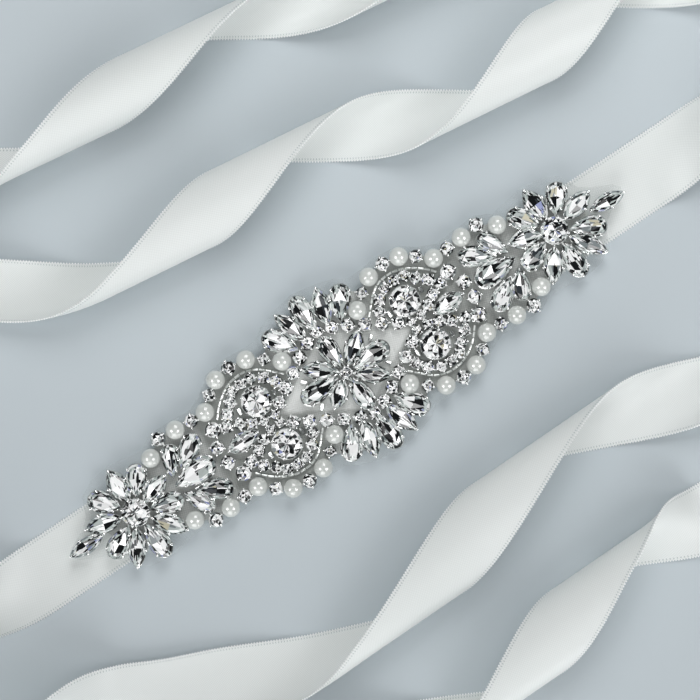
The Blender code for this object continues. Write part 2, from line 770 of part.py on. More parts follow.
def build():
    clear_scene()
    ribbon_middle()
    ribbon_stretches(LEFT_LEGS, LEFT_BENDS, LEFT_WINDING, LEFT_STRETCHES)
    ribbon_stretches(RIGHT_LEGS, RIGHT_BENDS, RIGHT_WINDING, RIGHT_STRETCHES)
    backing()
    chain_frame()
    middle_flower()
    for side, label in ((-1, "left"), (1, "right")):
        end_flower(f"flower_{label}", side)
        cluster(f"cluster_{label}", side)
        scroll(f"scroll_{label}", side)
        border(f"border_upper_{label}", side, 1)
        border(f"border_lower_{label}", side, -1)
    fan("fan_upper", 1)
    fan("fan_lower", -1)
    tris = sum(len(obj.data.loop_triangles) for obj in bpy.data.objects if obj.type == "MESH")
    print("objects", len(bpy.data.objects), "triangles", tris)


build()
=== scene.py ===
# %% [markdown]
# # A bridal sash: satin ribbon with a crystal and pearl applique
# A narrow satin ribbon lies on a surface in a long serpentine. Its tails wind loosely round
# themselves, and a stiff applique of set stones and pearls is sewn to its middle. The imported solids
# give the true sizes, and the pieces below take their place.

from math import atan2, cos, hypot, pi, radians, sin, tau

import bmesh
import bpy
import numpy as np
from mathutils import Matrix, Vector


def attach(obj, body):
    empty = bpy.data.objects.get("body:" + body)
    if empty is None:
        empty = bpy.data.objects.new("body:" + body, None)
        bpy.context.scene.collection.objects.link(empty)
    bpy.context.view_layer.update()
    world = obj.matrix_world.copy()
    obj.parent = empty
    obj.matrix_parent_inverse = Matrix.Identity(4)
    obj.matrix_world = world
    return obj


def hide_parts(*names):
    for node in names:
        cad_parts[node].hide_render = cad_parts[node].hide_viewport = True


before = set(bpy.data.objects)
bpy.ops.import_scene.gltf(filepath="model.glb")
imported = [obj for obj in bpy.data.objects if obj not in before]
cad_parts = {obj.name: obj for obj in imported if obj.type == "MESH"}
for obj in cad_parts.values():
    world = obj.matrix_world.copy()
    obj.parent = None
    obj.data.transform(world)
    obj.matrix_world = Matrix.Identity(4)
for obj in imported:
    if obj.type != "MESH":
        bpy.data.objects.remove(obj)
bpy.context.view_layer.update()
MM = 0.001
print("solids loaded:", len(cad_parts))

# %% [markdown]
# ## Helpers for colours and nodes
# A colour picked on a screen is sRGB, and the shaders work in linear light, so one function turns
# the hex value. Shader trees and Geometry Nodes trees are built the same way, a node at a time, so
# one function serves both: a value that is a socket becomes a link, and any other value is set. Sums,
# ranges, mixes and clouds come up in most finishes, so each has a short form.

# %% Helpers for colours and nodes
def linear(hex_colour):
    channels = [int(hex_colour[start:start + 2], 16) / 255.0 for start in (1, 3, 5)]
    light = [c / 12.92 if c <= 0.04045 else ((c + 0.055) / 1.055) ** 2.4 for c in channels]
    return (*light, 1.0)


def add_node(tree, kind, values=None, **settings):
    node = tree.nodes.new(kind)
    for key, setting in settings.items():
        setattr(node, key, setting)
    for key, value in (values or {}).items():
        if isinstance(value, bpy.types.NodeSocket):
            tree.links.new(value, node.inputs[key])
        else:
            node.inputs[key].default_value = value
    return node


def worked(tree, operation, *terms):
    """One sum on one or two values."""
    return add_node(tree, "ShaderNodeMath", dict(enumerate(terms)), operation=operation).outputs[0]


def ranged(tree, value, low, high, to_low=0.0, to_high=1.0):
    """A value carried over from one range to another, and held at the ends."""
    return add_node(tree, "ShaderNodeMapRange", {
        "Value": value, "From Min": low, "From Max": high, "To Min": to_low, "To Max": to_high,
    }).outputs[0]


def mixed(tree, share, first, second, **settings):
    """Two colours mixed: the first at a share of 0, the second at 1."""
    return add_node(tree, "ShaderNodeMix", {
        "Factor": share, "A": first, "B": second,
    }, data_type="RGBA", **settings).outputs["Result"]


def cloudy(tree, scale, detail):
    """A soft random cloud through the piece, from 0 to 1."""
    place = add_node(tree, "ShaderNodeTexCoord").outputs["Object"]
    noise = add_node(tree, "ShaderNodeTexNoise", {"Vector": place, "Scale": scale, "Detail": detail})
    return noise.outputs["Fac"]


def new_finish(name, **values):
    """A Principled material, with its tree and shader for what is linked in later."""
    material = bpy.data.materials.new(name)
    material.use_nodes = True
    tree = material.node_tree
    tree.nodes.clear()
    named = {key.replace("_", " "): value for key, value in values.items()}
    shader = add_node(tree, "ShaderNodeBsdfPrincipled", named)
    add_node(tree, "ShaderNodeOutputMaterial", {"Surface": shader.outputs["BSDF"]})
    return material, tree, shader


def wire(tree, shader, **sockets):
    """Link worked-out values into a shader."""
    for key, socket in sockets.items():
        tree.links.new(socket, shader.inputs[key.replace("_", " ")])


def in_scene(name, data):
    """An object for a mesh, a lamp or a camera, put into the scene."""
    obj = bpy.data.objects.new(name, data)
    bpy.context.scene.collection.objects.link(obj)
    return obj


print("white satin in linear light:", [round(c, 3) for c in linear("#eef0ef")[:3]])

# %% [markdown]
# ## The ribbon's route
# Each tail travels along straight legs joined by round bends. A table of legs and a table of bends
# are enough to give the point and heading after any length of travel, which is easier to correct
# than a long list of points.

# %% Legs and bends of the two tails
RIBBON_SET_Y = -1.2
RIBBON_SET_ANGLE = 0.7
# Leg columns: name, x and y of a point on its line, heading. Bend columns: x at which the leg
# before it ends, then 1 for a left turn or -1 for a right one.
LEFT_LEGS = (
    ("out", 0.0, RIBBON_SET_Y, 180.0 + RIBBON_SET_ANGLE),
    ("climb", -200.0, 60.0, 65.0),
    ("low", -85.8, 89.5, -33.5),
    ("back", -42.0, 76.7, -6.9),
    ("end", 22.8, 119.0, 172.5),
)
LEFT_BENDS = ((-195.0, -1), (-183.0, -1), (-88.0, 1), (214.0, 1))
RIGHT_LEGS = (
    ("out", 0.0, RIBBON_SET_Y, RIBBON_SET_ANGLE),
    ("back", 48.4, -70.8, 181.4),
    ("low", -120.5, -59.0, 157.0),
    ("end", 13.7, -115.8, 1.5),
)
RIGHT_BENDS = ((250.0, -1), (-56.0, -1), (-172.0, 1))
# No bend ends the last leg, so it just runs on.
LAST_LEG = 1000.0


class Track:
    """Legs and bends, read at many lengths of travel at once."""

    def __init__(self, legs, bends):
        rows = []
        self.leg_at = {}
        x, y = legs[0][1], legs[0][2]
        travelled = 0.0
        for index, (name, _, _, heading_deg) in enumerate(legs):
            heading = radians(heading_deg)
            last = index == len(bends)
            length = LAST_LEG if last else (bends[index][0] - x) / cos(heading)
            rows.append((travelled, x, y, heading, 0.0))
            self.leg_at[name] = (travelled, x, heading)
            travelled += length
            x += length * cos(heading)
            y += length * sin(heading)
            if last:
                continue
            side = bends[index][1]
            _, next_x, next_y, next_deg = legs[index + 1]
            turn = (side * (radians(next_deg) - heading)) % tau
            swing_x = sin(turn) * cos(heading) - side * (1.0 - cos(turn)) * sin(heading)
            swing_y = sin(turn) * sin(heading) + side * (1.0 - cos(turn)) * cos(heading)
            nx, ny = -sin(radians(next_deg)), cos(radians(next_deg))
            off_line = (x - next_x) * nx + (y - next_y) * ny
            radius = -off_line / (swing_x * nx + swing_y * ny)
            rows.append((travelled, x, y, heading, side / radius))
            travelled += radius * turn
            x += radius * swing_x
            y += radius * swing_y
        self.rows = np.array(rows)

    def place(self, leg, at_x):
        start, x, heading = self.leg_at[leg]
        return start + (at_x - x) / cos(heading)

    def at(self, travelled):
        index = np.clip(np.searchsorted(self.rows[:, 0], travelled, side="right") - 1, 0, None)
        start, x, y, heading, bend = np.moveaxis(self.rows[index], -1, 0)
        gone = travelled - start
        turned = heading + gone * bend
        safe = np.where(bend == 0.0, 1.0, bend)
        round_x = (np.sin(turned) - np.sin(heading)) / safe
        round_y = (np.cos(heading) - np.cos(turned)) / safe
        x = x + np.where(bend == 0.0, gone * np.cos(heading), round_x)
        y = y + np.where(bend == 0.0, gone * np.sin(heading), round_y)
        return x, y, turned


left_track = Track(LEFT_LEGS, LEFT_BENDS)
right_track = Track(RIGHT_LEGS, RIGHT_BENDS)
print("pieces of route, left and right:", len(left_track.rows), len(right_track.rows))

# %% [markdown]
# ## How the ribbon winds
# The tails wind round an oval that lies on the surface, as ribbon off a reel does. Between
# windings the ribbon stands on edge or lies flat. A second pair of tables says how many quarter
# turns it has made at each place, and how round the winding is there. A curve that never overshoots
# joins the rows.

# %% Winding tables
def wound(leg, half_width, half_height, *rows):
    """Rows on one leg, wound on an oval of one size: x on the leg, quarter turns, curl."""
    return [(leg, x, quarters, curl, half_width, half_height) for x, quarters, curl in rows]


# Quarter turns: 0 over the top, 1 left edge, 2 on the surface, 3 right edge. Curl: 0 straight
# across, 1 wound.
LEFT_WINDING = (
    *wound("out", 0.0, 9.5, (-100.0, 2.0, 0.0), (-123.0, 2.0, 0.0), (-186.0, 3.0, 0.0)),
    *wound("low", 0.0, 9.5, (-122.0, 3.0, 0.0)),
    *wound("low", 12.0, 9.5, (-92.0, 2.0, 1.0)),
    *wound("back", 12.0, 9.5, (-42.0, 3.0, 1.0), (25.4, 5.0, 1.0), (92.8, 7.0, 1.0), (149.4, 9.0, 1.0),
        (181.0, 10.0, 1.0), (212.0, 11.0, 0.0)),
    *wound("end", 10.9, 11.0, (200.0, 11.0, 0.0), (152.0, 12.0, 1.0), (107.0, 13.0, 1.0),
        (65.0, 14.0, 1.0), (27.0, 15.0, 1.0), (-10.0, 16.0, 1.0), (-47.0, 17.0, 1.0),
        (-90.0, 18.0, 0.0), (-210.0, 18.0, 0.0)),
)
RIGHT_WINDING = (
    *wound("out", 0.0, 9.8, (100.0, 2.0, 0.0), (123.0, 2.0, 0.0)),
    *wound("out", -10.0, 9.8, (186.0, 3.0, 0.0)),
    *wound("back", 14.9, 9.8, (210.0, 3.0, 0.0)),
    *wound("back", 14.4, 9.8, (170.0, 4.0, 1.0), (131.0, 5.0, 1.0), (88.4, 6.0, 1.0), (45.0, 7.0, 1.0),
        (-42.2, 9.0, 1.0)),
    *wound("low", 14.9, 9.8, (-98.0, 10.0, 0.6)),
    *wound("low", 6.0, 9.8, (-128.0, 10.1, 0.0)),
    *wound("low", 0.0, 9.8, (-170.0, 11.0, 0.0)),
    *wound("end", 13.0, 9.8, (-166.0, 11.0, 0.0), (-130.0, 12.0, 1.0), (-94.0, 13.0, 1.0),
        (-58.0, 14.0, 1.0)),
    *wound("end", 12.6, 9.8, (-24.0, 15.0, 1.0), (10.0, 16.0, 1.0), (43.4, 17.0, 1.0),
        (84.0, 18.0, 0.0)),
    *wound("end", 13.0, 9.8, (140.0, 18.0, 0.0)),
)


def curve_through(places, values, slopes, wanted):
    """Known values joined by a smooth curve, read at the places wanted."""
    row = np.clip(np.searchsorted(places, wanted, side="right") - 1, 0, len(places) - 2)
    span = (places[row + 1] - places[row])[:, None]
    share = (wanted - places[row])[:, None] / span
    rise = values[row + 1] - values[row]
    bow = slopes[row] * (1.0 - share) - slopes[row + 1] * share
    straight = values[row] + rise * share * share * (3.0 - 2.0 * share)
    return straight + span * share * (1.0 - share) * bow


class Winding:
    """Quarter turns, curl and size of the winding at many lengths of travel at once."""

    def __init__(self, track, rows):
        self.places = np.array([track.place(row[0], row[1]) for row in rows])
        self.values = np.array([row[2:] for row in rows])
        spans = np.diff(self.places)[:, None]
        steps = np.diff(self.values, axis=0) / spans
        before, after = steps[:-1], steps[1:]
        same_way = before * after > 0.0
        total = np.where(same_way, before + after, 1.0)
        middle = np.where(same_way, 2.0 * before * after / total, 0.0)
        self.slopes = np.vstack((steps[:1], middle, steps[-1:]))

    def read(self, travelled):
        travelled = np.clip(travelled, self.places[0], self.places[-1])
        return curve_through(self.places, self.values, self.slopes, travelled).T


left_winding = Winding(left_track, LEFT_WINDING)
right_winding = Winding(right_track, RIGHT_WINDING)
print("travel to each tail's end, mm:", round(left_winding.places[-1]), round(right_winding.places[-1]))

# %% [markdown]
# ## The cloth's surface
# Ribbon hardly stretches, so it can only roll. A straight line across it therefore wraps round the
# oval at the same slope as the winding, and both edges come out as the long curves that a real
# ribbon shows. The function gives the middle of the cloth at any travel and distance across.

# %% Middle surface of the ribbon
RIBBON_WIDTH = 25.0
CLOTH = 0.4
OVAL_STEPS = 96
PROBE = 0.4


def ribbon_surface(track, winding, travelled, across):
    quarters, curl, half_width, half_height = winding.read(travelled)
    rate = (winding.read(travelled + PROBE)[0] - winding.read(travelled - PROBE)[0]) / (2.0 * PROBE)
    angles = np.linspace(0.0, tau, OVAL_STEPS + 1)
    speed = np.hypot(np.outer(half_width, np.cos(angles)), np.outer(half_height, np.sin(angles)))
    pieces = 0.5 * (speed[:, 1:] + speed[:, :-1]) * tau / OVAL_STEPS
    arc = np.hstack((np.zeros((len(travelled), 1)), np.cumsum(pieces, axis=1)))
    girth = arc[:, -1]
    slope = np.arctan(curl * girth * 0.25 * rate)[:, None]
    along = across * np.sin(slope)
    round_it = across * np.cos(slope)
    reach = (quarters * 0.25 * girth)[:, None] - round_it
    wrapped = np.array([np.interp(reach[i] % girth[i], arc[i], angles) for i in range(len(travelled))])
    turned = (0.25 * tau * quarters)[:, None]
    column = [value[:, None] for value in (curl, half_width, half_height)]
    wound_v = column[1] * np.sin(wrapped)
    wound_z = column[2] * (1.0 + np.cos(wrapped))
    straight_v = column[1] * np.sin(turned) - round_it * np.cos(turned)
    straight_z = 0.5 * RIBBON_WIDTH * np.cos(slope) * np.abs(np.sin(turned)) + round_it * np.sin(turned)
    v = column[0] * wound_v + (1.0 - column[0]) * straight_v
    z = column[0] * wound_z + (1.0 - column[0]) * straight_z
    x, y, heading = track.at(travelled[:, None] + along)
    return np.stack((x - v * np.sin(heading), y + v * np.cos(heading), z + 0.5 * CLOTH), axis=-1)


# %% [markdown]
# ## One length of ribbon
# The left tail is read backwards and joined to the right tail in the middle, so the sash is one
# unbroken length of cloth. Its UV map holds metres across and metres along the cloth, so the weave
# follows every turn at its real size.

# %% Build the cloth
# Millimetres from one row of the cloth to the next, and the columns across it.
STEP = 1.6
ACROSS = 16


def whole_ribbon():
    across = np.linspace(-0.5, 0.5, ACROSS + 1)[None, :] * RIBBON_WIDTH
    ends = left_winding.places[-1], right_winding.places[-1]
    left_places = np.linspace(0.0, ends[0], int(ends[0] / STEP))[1:]
    right_places = np.linspace(0.0, ends[1], int(ends[1] / STEP))
    left = ribbon_surface(left_track, left_winding, left_places, -across)[::-1]
    right = ribbon_surface(right_track, right_winding, right_places, across)
    return np.concatenate((left, right))


def sheet_mesh(name, middle, thickness, uv_name):
    """Close a grid of middle points into a thin cloth with a UV map in metres."""
    rows, columns = middle.shape[:2]
    normal = np.cross(np.gradient(middle, axis=0), np.gradient(middle, axis=1))
    normal /= np.linalg.norm(normal, axis=2, keepdims=True)
    offset = 0.5 * thickness * normal
    ring = np.concatenate((middle + offset, (middle - offset)[:, ::-1]), axis=1)
    centre = middle[:, columns // 2]
    length = np.concatenate(([0.0], np.cumsum(np.linalg.norm(np.diff(centre, axis=0), axis=1))))
    wide = np.linspace(0.0, 1.0, columns) * RIBBON_WIDTH
    there_and_back = np.concatenate((wide, wide[::-1]))[None, :]
    uv = np.stack(np.broadcast_arrays(there_and_back, length[:, None]), axis=-1)
    count = 2 * columns
    low = (np.arange(rows - 1) * count)[:, None]
    here = np.arange(count)[None, :]
    there = (here + 1) % count
    sides = np.stack((low + here, low + count + here, low + count + there, low + there), axis=-1)
    half = np.arange(columns - 1)
    under = count - 1 - half
    last = (rows - 1) * count
    start_cap = np.stack((half, half + 1, under - 1, under), axis=-1)
    end_cap = np.stack((last + half, last + under, last + under - 1, last + half + 1), axis=-1)
    faces = np.concatenate((sides.reshape(-1, 4), start_cap, end_cap))
    mesh = bpy.data.meshes.new(name)
    mesh.from_pydata((ring.reshape(-1, 3) * MM).tolist(), [], faces.tolist())
    layer = mesh.uv_layers.new(name=uv_name)
    corners = np.empty(len(mesh.loops), dtype=np.int32)
    mesh.loops.foreach_get("vertex_index", corners)
    layer.data.foreach_set("uv", (uv.reshape(-1, 2)[corners] * MM).ravel())
    mesh.shade_smooth()
    rim = {columns - 1, columns, count - 1, 0}
    for edge in mesh.edges:
        a, b = edge.vertices
        edge.use_edge_sharp = a % count in rim and b % count in rim and abs(a - b) == count
    return in_scene(name, mesh), length[-1]


ribbon_middle_points = whole_ribbon()
ribbon, ribbon_length = sheet_mesh("ribbon", ribbon_middle_points, CLOTH, "cloth")
print("ribbon of", round(ribbon_length), "mm,", len(ribbon.data.polygons), "faces")

# %% [markdown]
# ## Satin
# Satin floats its long smooth threads on the face, so it gives a broad soft highlight across the
# ribbon and stays pale in shade. The fine cross ribs of the weave show close up, and a row of tiny
# holes runs beside each woven edge. Both are read from the cloth's own UV map.

# %% Satin finish
# Real satin has several threads to the millimetre, too fine to show, so one rib stands for a few.
RIB = 0.85 * MM
PICOT = 1.0 * MM
HALF_WIDTH = 0.5 * RIBBON_WIDTH * MM
# Distances in from the rim: where the woven edge begins, where its holes are open, where they end.
EDGE_FROM, HOLES_OPEN, HOLES_END = 1.2 * MM, 0.7 * MM, 0.25 * MM


def ribs(tree, distance, pitch):
    """A smooth wave from -1 to 1 that repeats at a real distance."""
    return worked(tree, "SINE", worked(tree, "MULTIPLY", distance, tau / pitch))


def satin_finish():
    # Double-faced polyester satin, woven: cool white, a broad sheen and a fine ribbed face.
    material, tree, shader = new_finish(
        "woven_polyester_satin", Roughness=0.42, Specular_IOR_Level=0.45, Anisotropic=0.5,
        Sheen_Weight=0.25, Sheen_Roughness=0.35, Sheen_Tint=linear("#ffffff"),
    )
    cloth = add_node(tree, "ShaderNodeUVMap", uv_map="cloth")
    split = add_node(tree, "ShaderNodeSeparateXYZ", {"Vector": cloth.outputs["UV"]})
    across, along = split.outputs["X"], split.outputs["Y"]
    weave = worked(tree, "MULTIPLY", ribs(tree, along, RIB), ribs(tree, across, RIB))
    # The holes lie past the face and short of the rim, one for each turn of the edge thread.
    off_middle = worked(tree, "ABSOLUTE", worked(tree, "SUBTRACT", across, HALF_WIDTH))
    past_face = ranged(tree, off_middle, HALF_WIDTH - EDGE_FROM, HALF_WIDTH - HOLES_OPEN)
    short_of_rim = ranged(tree, off_middle, HALF_WIDTH - HOLES_OPEN, HALF_WIDTH - HOLES_END, 1.0, 0.0)
    hole_row = worked(tree, "MULTIPLY", past_face, short_of_rim)
    holes = worked(tree, "MULTIPLY", hole_row, ranged(tree, ribs(tree, along, PICOT), 0.1, 0.7))
    face = mixed(tree, cloudy(tree, 18.0, 2.0), linear("#e6ebe9"), linear("#f0f3f2"))
    shaded = mixed(tree, 1.0, face, ranged(tree, weave, -1.0, 1.0, 0.87), blend_type="MULTIPLY")
    final = mixed(tree, holes, shaded, linear("#b0b9ba"))
    bump = add_node(tree, "ShaderNodeBump", {
        "Height": worked(tree, "SUBTRACT", weave, holes), "Strength": 0.25, "Distance": 0.05 * MM,
    })
    grain_way = add_node(tree, "ShaderNodeTangent", direction_type="UV_MAP", uv_map="cloth")
    wire(tree, shader, Base_Color=final, Normal=bump.outputs[0], Tangent=grain_way.outputs[0])
    return material


satin = satin_finish()
ribbon.data.materials.append(satin)
print("finish:", satin.name)

# %% [markdown]
# ## Turning a Geometry Nodes result into a plain piece
# Everything that repeats is placed by Geometry Nodes. The evaluated result is copied to a plain
# mesh and the modifier is taken off, so that the finished piece needs no nodes to keep its shape.

# %% Run a tree and keep its mesh
def store(mesh, name, kind, domain, values):
    """Give a mesh one named value on each point or face."""
    field = mesh.attributes.new(name, kind, domain)
    field.data.foreach_set("vector" if kind == "FLOAT_VECTOR" else "value", values)


def point_object(name, positions, edges=(), kinds=None, **vectors):
    """A mesh of bare points, in metres, with a kind and named vectors at each point."""
    mesh = bpy.data.meshes.new(name)
    mesh.from_pydata([tuple(p) for p in positions], list(edges), [])
    if kinds:
        store(mesh, "kind", "INT", "POINT", kinds)
    for column, values in vectors.items():
        store(mesh, column, "FLOAT_VECTOR", "POINT", [part for value in values for part in value])
    return in_scene(name, mesh)


def path_object(name, lines):
    """One mesh of lines of points, in metres, each line joined from end to end."""
    positions, edges = [], []
    for line in lines:
        first = len(positions)
        positions += line
        edges += [(k, k + 1) for k in range(first, len(positions) - 1)]
    return point_object(name, positions, edges)


def grown_by(tree, name, source, **inputs):
    """Run a tree on a source object and return the result as a plain mesh object."""
    modifier = source.modifiers.new("grow", "NODES")
    modifier.node_group = tree
    for item in tree.interface.items_tree:
        if item.in_out == "INPUT" and item.name in inputs:
            modifier[item.identifier] = inputs[item.name]
    source.update_tag()
    seen = source.evaluated_get(bpy.context.evaluated_depsgraph_get())
    mesh = bpy.data.meshes.new_from_object(seen)
    mesh.name = name
    source.modifiers.remove(modifier)
    bpy.data.objects.remove(source, do_unlink=True)
    return in_scene(name, mesh)


def hidden_shape(name, points, faces, smooth=False):
    """A shape that is only ever copied onto points."""
    mesh = bpy.data.meshes.new(name)
    mesh.from_pydata(points, [], faces)
    if smooth:
        mesh.shade_smooth()
    shape = in_scene(name, mesh)
    shape.hide_render = True
    return shape


def new_tree(name, inputs):
    """A Geometry Nodes tree with named inputs, and the sockets that hand them in."""
    tree = bpy.data.node_groups.new(name, "GeometryNodeTree")
    for label, kind in inputs.items():
        tree.interface.new_socket(label, in_out="INPUT", socket_type=f"NodeSocket{kind}")
    tree.interface.new_socket("Result", in_out="OUTPUT", socket_type="NodeSocketGeometry")
    return tree, add_node(tree, "NodeGroupInput").outputs


def hand_out(tree, geometry, finish):
    """End a tree: put the finish on and hand the result out."""
    done = add_node(tree, "GeometryNodeSetMaterial", {"Geometry": geometry, "Material": finish})
    add_node(tree, "NodeGroupOutput", {0: done.outputs[0]})


print("helpers for trees are ready")

# %% [markdown]
# ## A row of small things along a path
# The ribbon's edge thread makes a row of tiny loops, and the applique has beads strung along its
# scrolls. Both repeat at an even pitch along a line, so one tree spaces points along the line, turns
# each to follow it and puts one shape on each.

# %% Tree that spaces shapes along a path
def row_tree():
    tree, given = new_tree("Shapes along a path", {
        "Path": "Geometry", "Pitch": "Float", "Shape": "Object", "Size": "Vector", "Finish": "Material",
    })
    line = add_node(tree, "GeometryNodeMeshToCurve", {"Mesh": given["Path"]})
    spaced = add_node(tree, "GeometryNodeResampleCurve", {
        "Curve": line.outputs[0], "Length": given["Pitch"],
    }, mode="LENGTH")
    points = add_node(tree, "GeometryNodeCurveToPoints", {"Curve": spaced.outputs[0]}, mode="EVALUATED")
    along = add_node(tree, "FunctionNodeAlignRotationToVector", {
        "Vector": points.outputs["Tangent"],
    }, axis="X")
    shape = add_node(tree, "GeometryNodeObjectInfo", {"Object": given["Shape"]})
    placed = add_node(tree, "GeometryNodeInstanceOnPoints", {
        "Points": points.outputs["Points"], "Instance": shape.outputs["Geometry"],
        "Rotation": along.outputs[0], "Scale": given["Size"],
    })
    real = add_node(tree, "GeometryNodeRealizeInstances", {"Geometry": placed.outputs[0]})
    hand_out(tree, real.outputs[0], given["Finish"])
    return tree


shapes_in_row = row_tree()
print("nodes in the row tree:", len(shapes_in_row.nodes))

# %% [markdown]
# ## The picot edge
# Both edges of the ribbon are finished with a row of tiny loops, one for each turn of the edge
# thread. A loop is a small rounded grain, and its path lies a little outside the sheet's rim.

# %% Loops along both edges
PICOT_SIZE = (0.62 * MM, 0.74 * MM, 0.62 * MM)
# Share of the way from the rim to the next line of the sheet. Below zero it lies outside the rim.
PICOT_INSET = -0.10


def grain(name, subdivisions):
    shell = bmesh.new()
    bmesh.ops.create_icosphere(shell, subdivisions=subdivisions, radius=0.5)
    points = [tuple(v.co) for v in shell.verts]
    faces = [tuple(v.index for v in face.verts) for face in shell.faces]
    shell.free()
    return hidden_shape(name, points, faces, smooth=True)


def edge_lines():
    lines = []
    for rim, inner in ((0, 1), (ACROSS, ACROSS - 1)):
        outer_line, inner_line = ribbon_middle_points[:, rim], ribbon_middle_points[:, inner]
        line = outer_line * (1.0 - PICOT_INSET) + inner_line * PICOT_INSET
        lines.append((line * MM).tolist())
    return path_object("edge_lines", lines)


# Polyester edge thread, twisted and tightly looped: a little whiter and rougher than the face.
picot_finish, _, _ = new_finish(
    "looped_edge_thread", Base_Color=linear("#fdfefe"), Roughness=0.5, Sheen_Weight=0.3,
)
loop_shape = grain("thread_loop", 1)
picot = grown_by(
    shapes_in_row, "ribbon_picot_edges", edge_lines(),
    Pitch=PICOT, Shape=loop_shape, Size=PICOT_SIZE, Finish=picot_finish,
)
print("picot loops:", len(picot.data.polygons) // len(loop_shape.data.polygons))

# %% [markdown]
# ## Where the applique's pieces lie
# The scrolls, chain, borders and outlines are alike in all four quarters, so one quarter of them is
# written down. An end flower and its cluster are written whole and mirrored to the other end, where
# only the stone at the tip is turned. A fan is mirrored from above to below, and the middle flower is
# a ring of its own. Round stones are given by centre and diameter. All sizes are in millimetres. The
# whole was set down very slightly askew, which one function puts back.

# %% Applique tables
APPLIQUE_Y = -0.6
SKEW_X_BY_Y = -0.047
SKEW_Y_BY_X = 0.017
# Heights above the surface: the net, then the tops of the stones.
NET_TOP = 2.3
LARGE_TOP, SCROLL_ROUND_TOP, SCROLL_TOP, CHAIN_TOP, BORDER_TOP = 7.6, 8.0, 6.0, 5.4, 6.8

END_FLOWER_AT = (88.3, 0.4)
# Hubs: diameter, top and, for the one that stands on its petals, base.
END_HUB = (9.6, 8.6)
MIDDLE_HUB = (4.2, LARGE_TOP, 4.0)
# Petals: cut, angle, radius at root, radius at tip, width.
END_PETALS = (
    ("navette", 15.0, 6.4, 18.4, 6.0),
    ("pear", 52.0, 6.6, 17.2, 6.8),
    ("navette", 92.0, 5.8, 17.6, 6.4),
    ("pear", 126.0, 6.6, 17.2, 6.6),
    ("navette", 162.0, 5.8, 16.8, 6.0),
    ("pear", 198.0, 6.2, 17.2, 6.4),
    ("navette", 233.0, 7.0, 19.0, 6.2),
    ("pear", 268.0, 6.2, 18.8, 6.6),
    ("navette", 303.0, 6.8, 19.6, 5.8),
    ("pear", 332.0, 6.6, 18.0, 6.8),
)
# The stone at each tip: cut, angle at the left end and at the right, root, tip, width.
TIP_STONE = ("navette", 0.0, -5.0, 15.4, 27.6, 5.0)
MIDDLE_PETALS = (
    ("pear", 0.0, 4.4, 17.6, 6.8),
    ("navette", 38.0, 3.8, 16.0, 5.8),
    ("pear", 91.0, 3.0, 15.2, 6.2),
    ("navette", 142.0, 3.8, 15.6, 5.8),
    ("pear", 180.0, 4.4, 18.2, 6.8),
    ("navette", 218.0, 3.8, 13.6, 5.6),
    ("pear", 271.0, 3.0, 15.2, 6.2),
    ("navette", 322.0, 3.8, 15.8, 5.6),
)
# Stones between two ends: cut, x and y of the root, x and y of the tip, width.
FAN_STONES = (
    ("pear", 0.0, 19.3, 0.0, 32.1, 6.6),
    ("navette", 5.1, 18.6, 8.6, 30.4, 6.0),
    ("pear", 9.6, 17.0, 16.3, 26.8, 6.8),
    ("navette", -5.1, 18.6, -8.6, 30.4, 6.0),
    ("pear", -9.6, 17.0, -16.3, 26.8, 6.8),
)
CLUSTER_STONES = (
    ("pear", 70.3, 0.3, 55.4, 0.3, 7.8),
    ("pear", 65.4, 5.2, 55.6, 11.6, 6.6),
    ("pear", 65.4, -5.2, 55.6, -11.6, 6.6),
    ("pear", 70.0, 4.3, 65.1, 13.7, 5.8),
    ("pear", 70.0, -4.3, 65.1, -13.7, 5.8),
)
SCROLL_NAVETTE = ("navette", 38.4, 0.0, 49.4, 0.0, 6.0)
# Round stones: x, y, diameter.
SCROLL_ROUND = (31.3, 9.2, 10.6)
SCROLL_SMALL = (
    (42.4, 10.9, 4.4), (39.1, 13.9, 4.3), (36.3, 16.8, 4.0), (32.4, 17.2, 4.1), (28.4, 17.0, 4.0),
    (24.5, 14.6, 4.4), (21.9, 11.1, 4.3), (49.6, 9.2, 5.6), (45.2, 7.5, 4.5), (40.8, 5.8, 4.3),
    (37.2, 3.5, 4.3), (52.1, 3.2, 5.0), (33.2, 2.1, 3.8),
)
CHAIN_STONES = (
    (28.9, 1.8, 3.5), (25.1, 4.2, 4.8), (20.3, 7.1, 4.8), (15.2, 10.2, 4.8), (10.2, 13.3, 4.8),
    (5.1, 15.9, 4.8),
)
CHAIN_TIP = (0.0, 17.4, 4.4)
# Single bugle beads: x and y, then their length and their widths.
SCROLL_BUGLES = ((24.6, 8.4), (38.3, 9.4))
CHAIN_BUGLE = (14.0, 5.3)
LOOSE_BUGLE = 2.2
SCROLL_BUGLE_WIDTH, CHAIN_BUGLE_WIDTH = 1.7, 1.4
# Border: x and y of the pearls, then x, y and diameter of the stones between them.
PEARL = 6.7
BORDER_PEARLS = ((15.9, 15.8), (25.9, 23.3), (38.6, 23.3), (48.2, 16.0), (60.3, 16.7), (73.0, 13.3))
BORDER_STONES = (
    (20.7, 19.9, 4.2), (32.5, 24.4, 5.0), (43.6, 20.1, 4.6), (54.0, 16.2, 4.8), (67.1, 17.4, 5.2),
)
